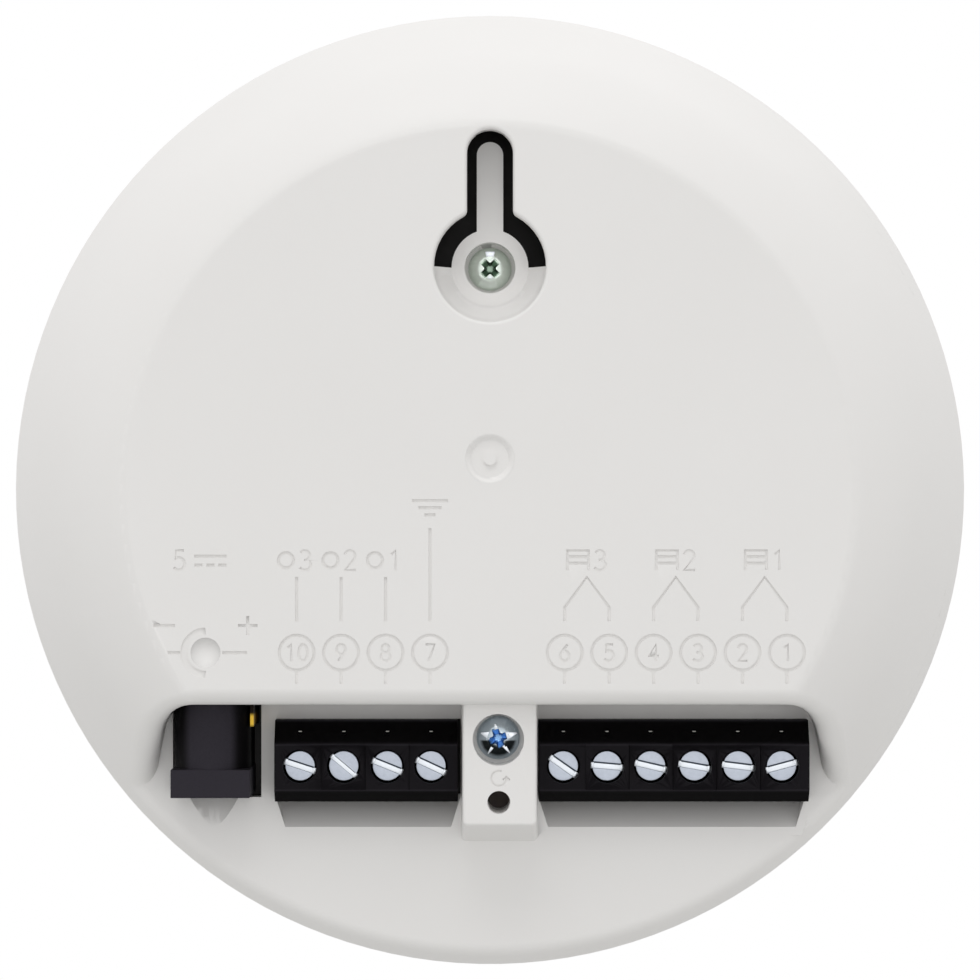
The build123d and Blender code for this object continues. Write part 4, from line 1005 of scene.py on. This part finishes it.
def screw_tree():
    """Tree that makes a slotted screw whose head looks to -Y, from its sizes and its place."""
    inputs = dict.fromkeys((*SCREW_SIZES, "Shank length", "Slot angle"), "Float")
    graph, size = start_tree(
        "slotted screw", inputs | {"Place": "Vector", "Milled part": "Bool", "Finish": "Material"}
    )

    def moved(geometry, offset):
        place = graph.node("ShaderNodeCombineXYZ", {}, dict(enumerate(offset)))
        return graph.node("GeometryNodeTransform", {}, {"Geometry": geometry, "Translation": place})

    def solid_box(width, length, height):
        whole = graph.node("ShaderNodeCombineXYZ", {}, {0: width, 1: length, 2: height})
        return graph.node("GeometryNodeMeshCube", {}, {"Size": whole})

    def rod(radius, height, sides):
        return graph.node(
            "GeometryNodeMeshCylinder", {"fill_type": "NGON"},
            {"Vertices": sides, "Radius": radius, "Depth": height},
        )

    # The screw with its slot
    head = moved(rod(size["Head radius"], size["Head height"], 72), (0, 0, -0.5 * size["Head height"]))
    slot = solid_box(4 * size["Head radius"], size["Slot width"], 2 * size["Slot depth"])
    slotted = graph.node(
        "GeometryNodeMeshBoolean", {"operation": "DIFFERENCE", "solver": "EXACT"},
        {"Mesh 1": head, "Mesh 2": slot},
    )
    shank = moved(
        rod(size["Shank radius"], size["Shank length"], 48),
        (0, 0, -1 * size["Head height"] - 0.5 * size["Shank length"]),
    )
    screw = graph.node("GeometryNodeJoinGeometry", {}, {"Geometry": [slotted, shank]})

    # The milled floor, against the lower wall of the slot, and its tabs
    shift = 0.5 * (size["Floor width"] - size["Slot width"])
    thickness = 0.8 * (size["Slot depth"] - size["Floor depth"])
    floor = moved(
        solid_box(1.96 * size["Head radius"], size["Floor width"], thickness),
        (0, shift, -1 * size["Floor depth"] - 0.5 * thickness),
    )
    tab_start = 0.9 * size["Head radius"]
    tab_middle = 0.5 * (size["Tab reach"] + tab_start)
    tabs = [
        moved(
            solid_box(size["Tab reach"] - tab_start, 1.25 * size["Floor width"], 1.6 * thickness),
            (side * tab_middle, shift, -0.75 * size["Floor depth"] - 0.8 * thickness),
        )
        for side in (-1, 1)
    ]
    milled = graph.node("GeometryNodeJoinGeometry", {}, {"Geometry": [floor] + tabs})

    chosen = graph.node(
        "GeometryNodeSwitch", {"input_type": "GEOMETRY"},
        {"Switch": size["Milled part"], "False": screw, "True": milled},
    )
    turn = graph.node("ShaderNodeCombineXYZ", {}, {2: size["Slot angle"]})
    angled = graph.node("GeometryNodeTransform", {}, {"Geometry": chosen, "Rotation": turn})
    facing = graph.node(
        "GeometryNodeTransform", {},
        {"Geometry": angled, "Translation": size["Place"], "Rotation": (pi / 2, 0, 0)},
    )
    return end_tree(facing, size["Finish"])


# %% Make the ten screws
screw_nodes = screw_tree()
SLOT_ANGLES = {10: -18, 9: -40, 8: -22, 7: -25, 6: -35, 5: -5, 4: -13, 3: -10, 2: -7, 1: 15}
# The slot of one screw is nearly closed by a burr
BURRED_TERMINAL = 9
BURRED_SIZES = {"Slot width": 0.5, "Floor width": 0.46, "Floor depth": 0.06}


def screw_part(name, values, material):
    """One result of the screw tree, as a plain mesh with softened edges."""
    work = grown(new_object(name, bpy.data.meshes.new(name)), screw_nodes, values | {"Finish": material})
    return smooth(softened(work, 0.04 * MM), angle=40)


for number, angle in SLOT_ANGLES.items():
    node_name = f"terminal_screw_{number}"
    low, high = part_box(node_name)
    sizes = SCREW_SIZES | {"Shank length": (high.y - low.y) / MM - SCREW_SIZES["Head height"]}
    if number == BURRED_TERMINAL:
        sizes |= BURRED_SIZES
    values = {name: value * MM for name, value in sizes.items()}
    values["Slot angle"] = radians(angle)
    values["Place"] = ((low.x + high.x) / 2, low.y, (low.z + high.z) / 2)
    screw = screw_part(f"slotted_{node_name}", values | {"Milled part": False}, finishes["zinc_steel"])
    stands_for(screw, node_name)
    milled = screw_part(f"milled_{node_name}", values | {"Milled part": True}, milled_and_highlight_steel)
    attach(milled, frame["nodes"][node_name]["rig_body"])
print("one screw:", len(screw.data.polygons), "faces and", len(milled.data.polygons), "of its milled slot")

# %% [markdown]
# ## Case screws
#
# Two larger screws hold the case together, one in the keyhole and one in the post. Each has a
# pan head with a cross recess, whose wings get narrower and shallower towards their ends. The
# head is a turned body, and the recess is cut by two tapered bars. Small wedges of bright steel
# at the ends of the wings are painted highlights.


# %% Case screws
PAN_RADIUS, PAN_HEIGHT, CROWN_POWER, CASE_SHANK_RADIUS, TIP_LENGTH = 2.5, 1.8, 0.8, 1.3, 0.5
# Outlines of the recess over the crown and at its floor: the cross, and the square in its middle
CROSS = wing(-1.55, 1.55, 0.95, 0.95), wing(-0.4, 0.4, 0.4, 0.4)
SQUARE = wing(-0.85, 0.85, 1.7, 1.7), wing(-0.3, 0.3, 0.6, 0.6)
OVER_CROWN, CROSS_DEPTH, SQUARE_DEPTH, HIGHLIGHT_WEDGE_DEPTH = 0.3, 1.4, 1.0, 0.8


def case_screw(node_name, angle, material_name, highlight_wings):
    """Pan head screw with a cross recess, in the place of a CAD screw."""
    material = finishes[material_name]
    low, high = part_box(node_name)
    centre = ((low.x + high.x) / 2 / MM, (low.z + high.z) / 2 / MM)
    top, rim, end = low.y / MM, low.y / MM + PAN_HEIGHT, high.y / MM
    profile = [
        (PAN_RADIUS * sin(radians(turn)), top + PAN_HEIGHT * (1 - cos(radians(turn)) ** CROWN_POWER))
        for turn in range(0, 90, 9)
    ]
    profile += [(PAN_RADIUS, rim), (CASE_SHANK_RADIUS, rim), (CASE_SHANK_RADIUS, end - TIP_LENGTH)]
    profile += [(0.5 * CASE_SHANK_RADIUS, end), (0, end)]
    work = joined(f"{node_name}_cross", [turned(profile, centre, 96)], material)
    levels = (top - OVER_CROWN, top + CROSS_DEPTH)
    bars = [tapered_bar(centre, levels, angle + turn, CROSS) for turn in (0, 90)]
    bars.append(tapered_bar(centre, (top - OVER_CROWN, top + SQUARE_DEPTH), angle + 45, SQUARE))
    work = combined(work, joined("recess", bars, material), "DIFFERENCE")
    stands_for(smooth(softened(work, 0.04 * MM), angle=35), node_name)
    # Painted highlights: small wedges of bright steel at the ends of the wings
    highlight_wedges = [
        tapered_bar(centre, (top + wedge_top, top + HIGHLIGHT_WEDGE_DEPTH), wedge_angle, [wing(*sizes)] * 2)
        for wedge_angle, wedge_top, *sizes in highlight_wings
    ]
    highlight_piece = joined(f"{node_name}_burrs", highlight_wedges, milled_and_highlight_steel)
    highlight_piece = smooth(softened(highlight_piece, 0.06 * MM), angle=35)
    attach(highlight_piece, "case")


# Each painted highlight wedge: its angle, its depth under the crown, its start and end, and its widths there
UPPER_HIGHLIGHTS = [(90, 0.25, 1.2, 1.95, 0.8, 1.15), (270, 0.1, 0.75, 1.15, 0.25, 0.6)]
LOWER_HIGHLIGHTS = [
    (163, 0.2, 0.95, 2.1, 1.0, 0.15), (16, 0.2, 0.95, 2.2, 1.0, 0.15), (236, 0.2, 1.0, 2.15, 0.45, 0.12),
    (308, 0.2, 1.0, 2.15, 0.5, 0.12), (103, 0.2, 1.05, 1.7, 0.5, 0.15),
]
case_screw("upper_case_screw", 45, "green_zinc_steel", UPPER_HIGHLIGHTS)
case_screw("lower_case_screw", 20, "blue_zinc_steel", LOWER_HIGHLIGHTS)

# %% [markdown]
# ## Terminal blocks
#
# Blocks of this kind are snapped together from single ways, which leaves a fine seam between two
# neighbours, and each way has a small test hole in its sloped shoulder. In the photograph the
# visible part of each block also stands a little over its window in the floor, with thin end
# walls, a longer shoulder and a longer lip, which hide the gap round it. These are prisms along
# the block, joined to a copy of the CAD housing.


# %% Terminal blocks
def prism(outline, start, end):
    """Prism along X over a convex outline of (depth, height) pairs, all in millimetres."""
    return [Vector((x, depth, z)) * MM for x in (start, end) for depth, z in outline], capped(len(outline))


END_WALLS = {"sensor_terminal_housing": (0.4, 0.55), "opener_terminal_housing": (0.28, 0.6)}
WALL_OVERLAP = 0.2
SHOULDER_REACH, SHOULDER_FALL, LIP_REACH, LIP_FALL = 0.4, 1.9, 0.7, 1.4
ABOVE_FLOOR = 11.0
SEAM_WIDTH, SEAM_DEPTH, SEAM_OVERCUT = 0.08, 0.1, 1.0
HOLE_RADIUS, HOLE_DEPTH, HOLE_DROP = 0.34, 2.0, 0.9
TIP_HALF_WIDTH, TIP_TOP, TIP_END, TIP_LOW, TIP_HIGH = 0.2, 1.3, 1.9, -0.02, 0.08


def housing(node_name, numbers):
    """Terminal block with end walls, seams and test holes."""
    plastic = finishes["terminal_plastic"]
    low, high = box_mm(node_name)
    left, right = END_WALLS[node_name]
    shoulder = [
        (low.y, SHOULDER_Z), (low.y + SHOULDER_FALL, high.z + SHOULDER_REACH),
        (ABOVE_FLOOR, high.z + SHOULDER_REACH), (ABOVE_FLOOR, SHOULDER_Z),
    ]
    lip = [
        (low.y, LIP_Z), (ABOVE_FLOOR, LIP_Z), (ABOVE_FLOOR, low.z - LIP_REACH),
        (low.y + LIP_FALL, low.z - LIP_REACH),
    ]
    whole = [shoulder[0], lip[0], lip[3], lip[2], shoulder[2], shoulder[1]]
    start, end = low.x - left, high.x + right
    walls = [
        prism(shoulder, start, end), prism(lip, start, end),
        prism(whole, start, low.x + WALL_OVERLAP), prism(whole, high.x - WALL_OVERLAP, end),
    ]
    places = sorted(terminal_x[number] for number in numbers)
    seam_depths = low.y - SEAM_OVERCUT, low.y + SEAM_DEPTH
    seams = [
        block((before + after) / 2, SEAM_WIDTH / 2, seam_depths, (SHOULDER_Z, LIP_Z))
        for before, after in zip(places, places[1:])
    ]
    hole_z = high.z - HOLE_DROP
    holes = [round_bar(x, hole_z, HOLE_RADIUS, low.y, low.y + HOLE_DEPTH, 24) for x in places]
    work = combined(merged_copy(node_name, f"{node_name}_detailed"), joined("walls", walls, plastic), "UNION")
    work = combined(work, joined("seams", seams, plastic), "DIFFERENCE")
    work = combined(work, joined("test_holes", holes, plastic), "DIFFERENCE")
    tip_depths, tip_heights = (low.y + TIP_TOP, low.y + TIP_END), (hole_z + TIP_LOW, hole_z + TIP_HIGH)
    tips = [block(x, TIP_HALF_WIDTH, tip_depths, tip_heights) for x in places]
    tip_piece = joined(f"{node_name}_test_tips", tips, finishes["cage_steel"])
    tip_piece = smooth(softened(tip_piece, 0.03 * MM))
    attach(tip_piece, "case")
    return stands_for(smooth(softened(work, 0.07 * MM), angle=35), node_name)


for name, numbers in (("sensor_terminal_housing", range(7, 11)), ("opener_terminal_housing", range(1, 7))):
    made = housing(name, numbers)
    print(name, len(made.data.polygons), "faces")

# %% [markdown]
# ## Power socket
#
# The socket's body is a box with a half round crown, and a thicker flange stands at its mouth.
# A copy of the CAD housing gets soft edges, which catch the light as moulded edges do.

# %% Power socket
jack = merged_copy("power_jack_housing", "power_jack_housing_soft")
jack = smooth(softened(jack, 0.09 * MM, angle=40), angle=35)
stands_for(jack, "power_jack_housing")
print("power socket:", len(jack.data.polygons), "faces")
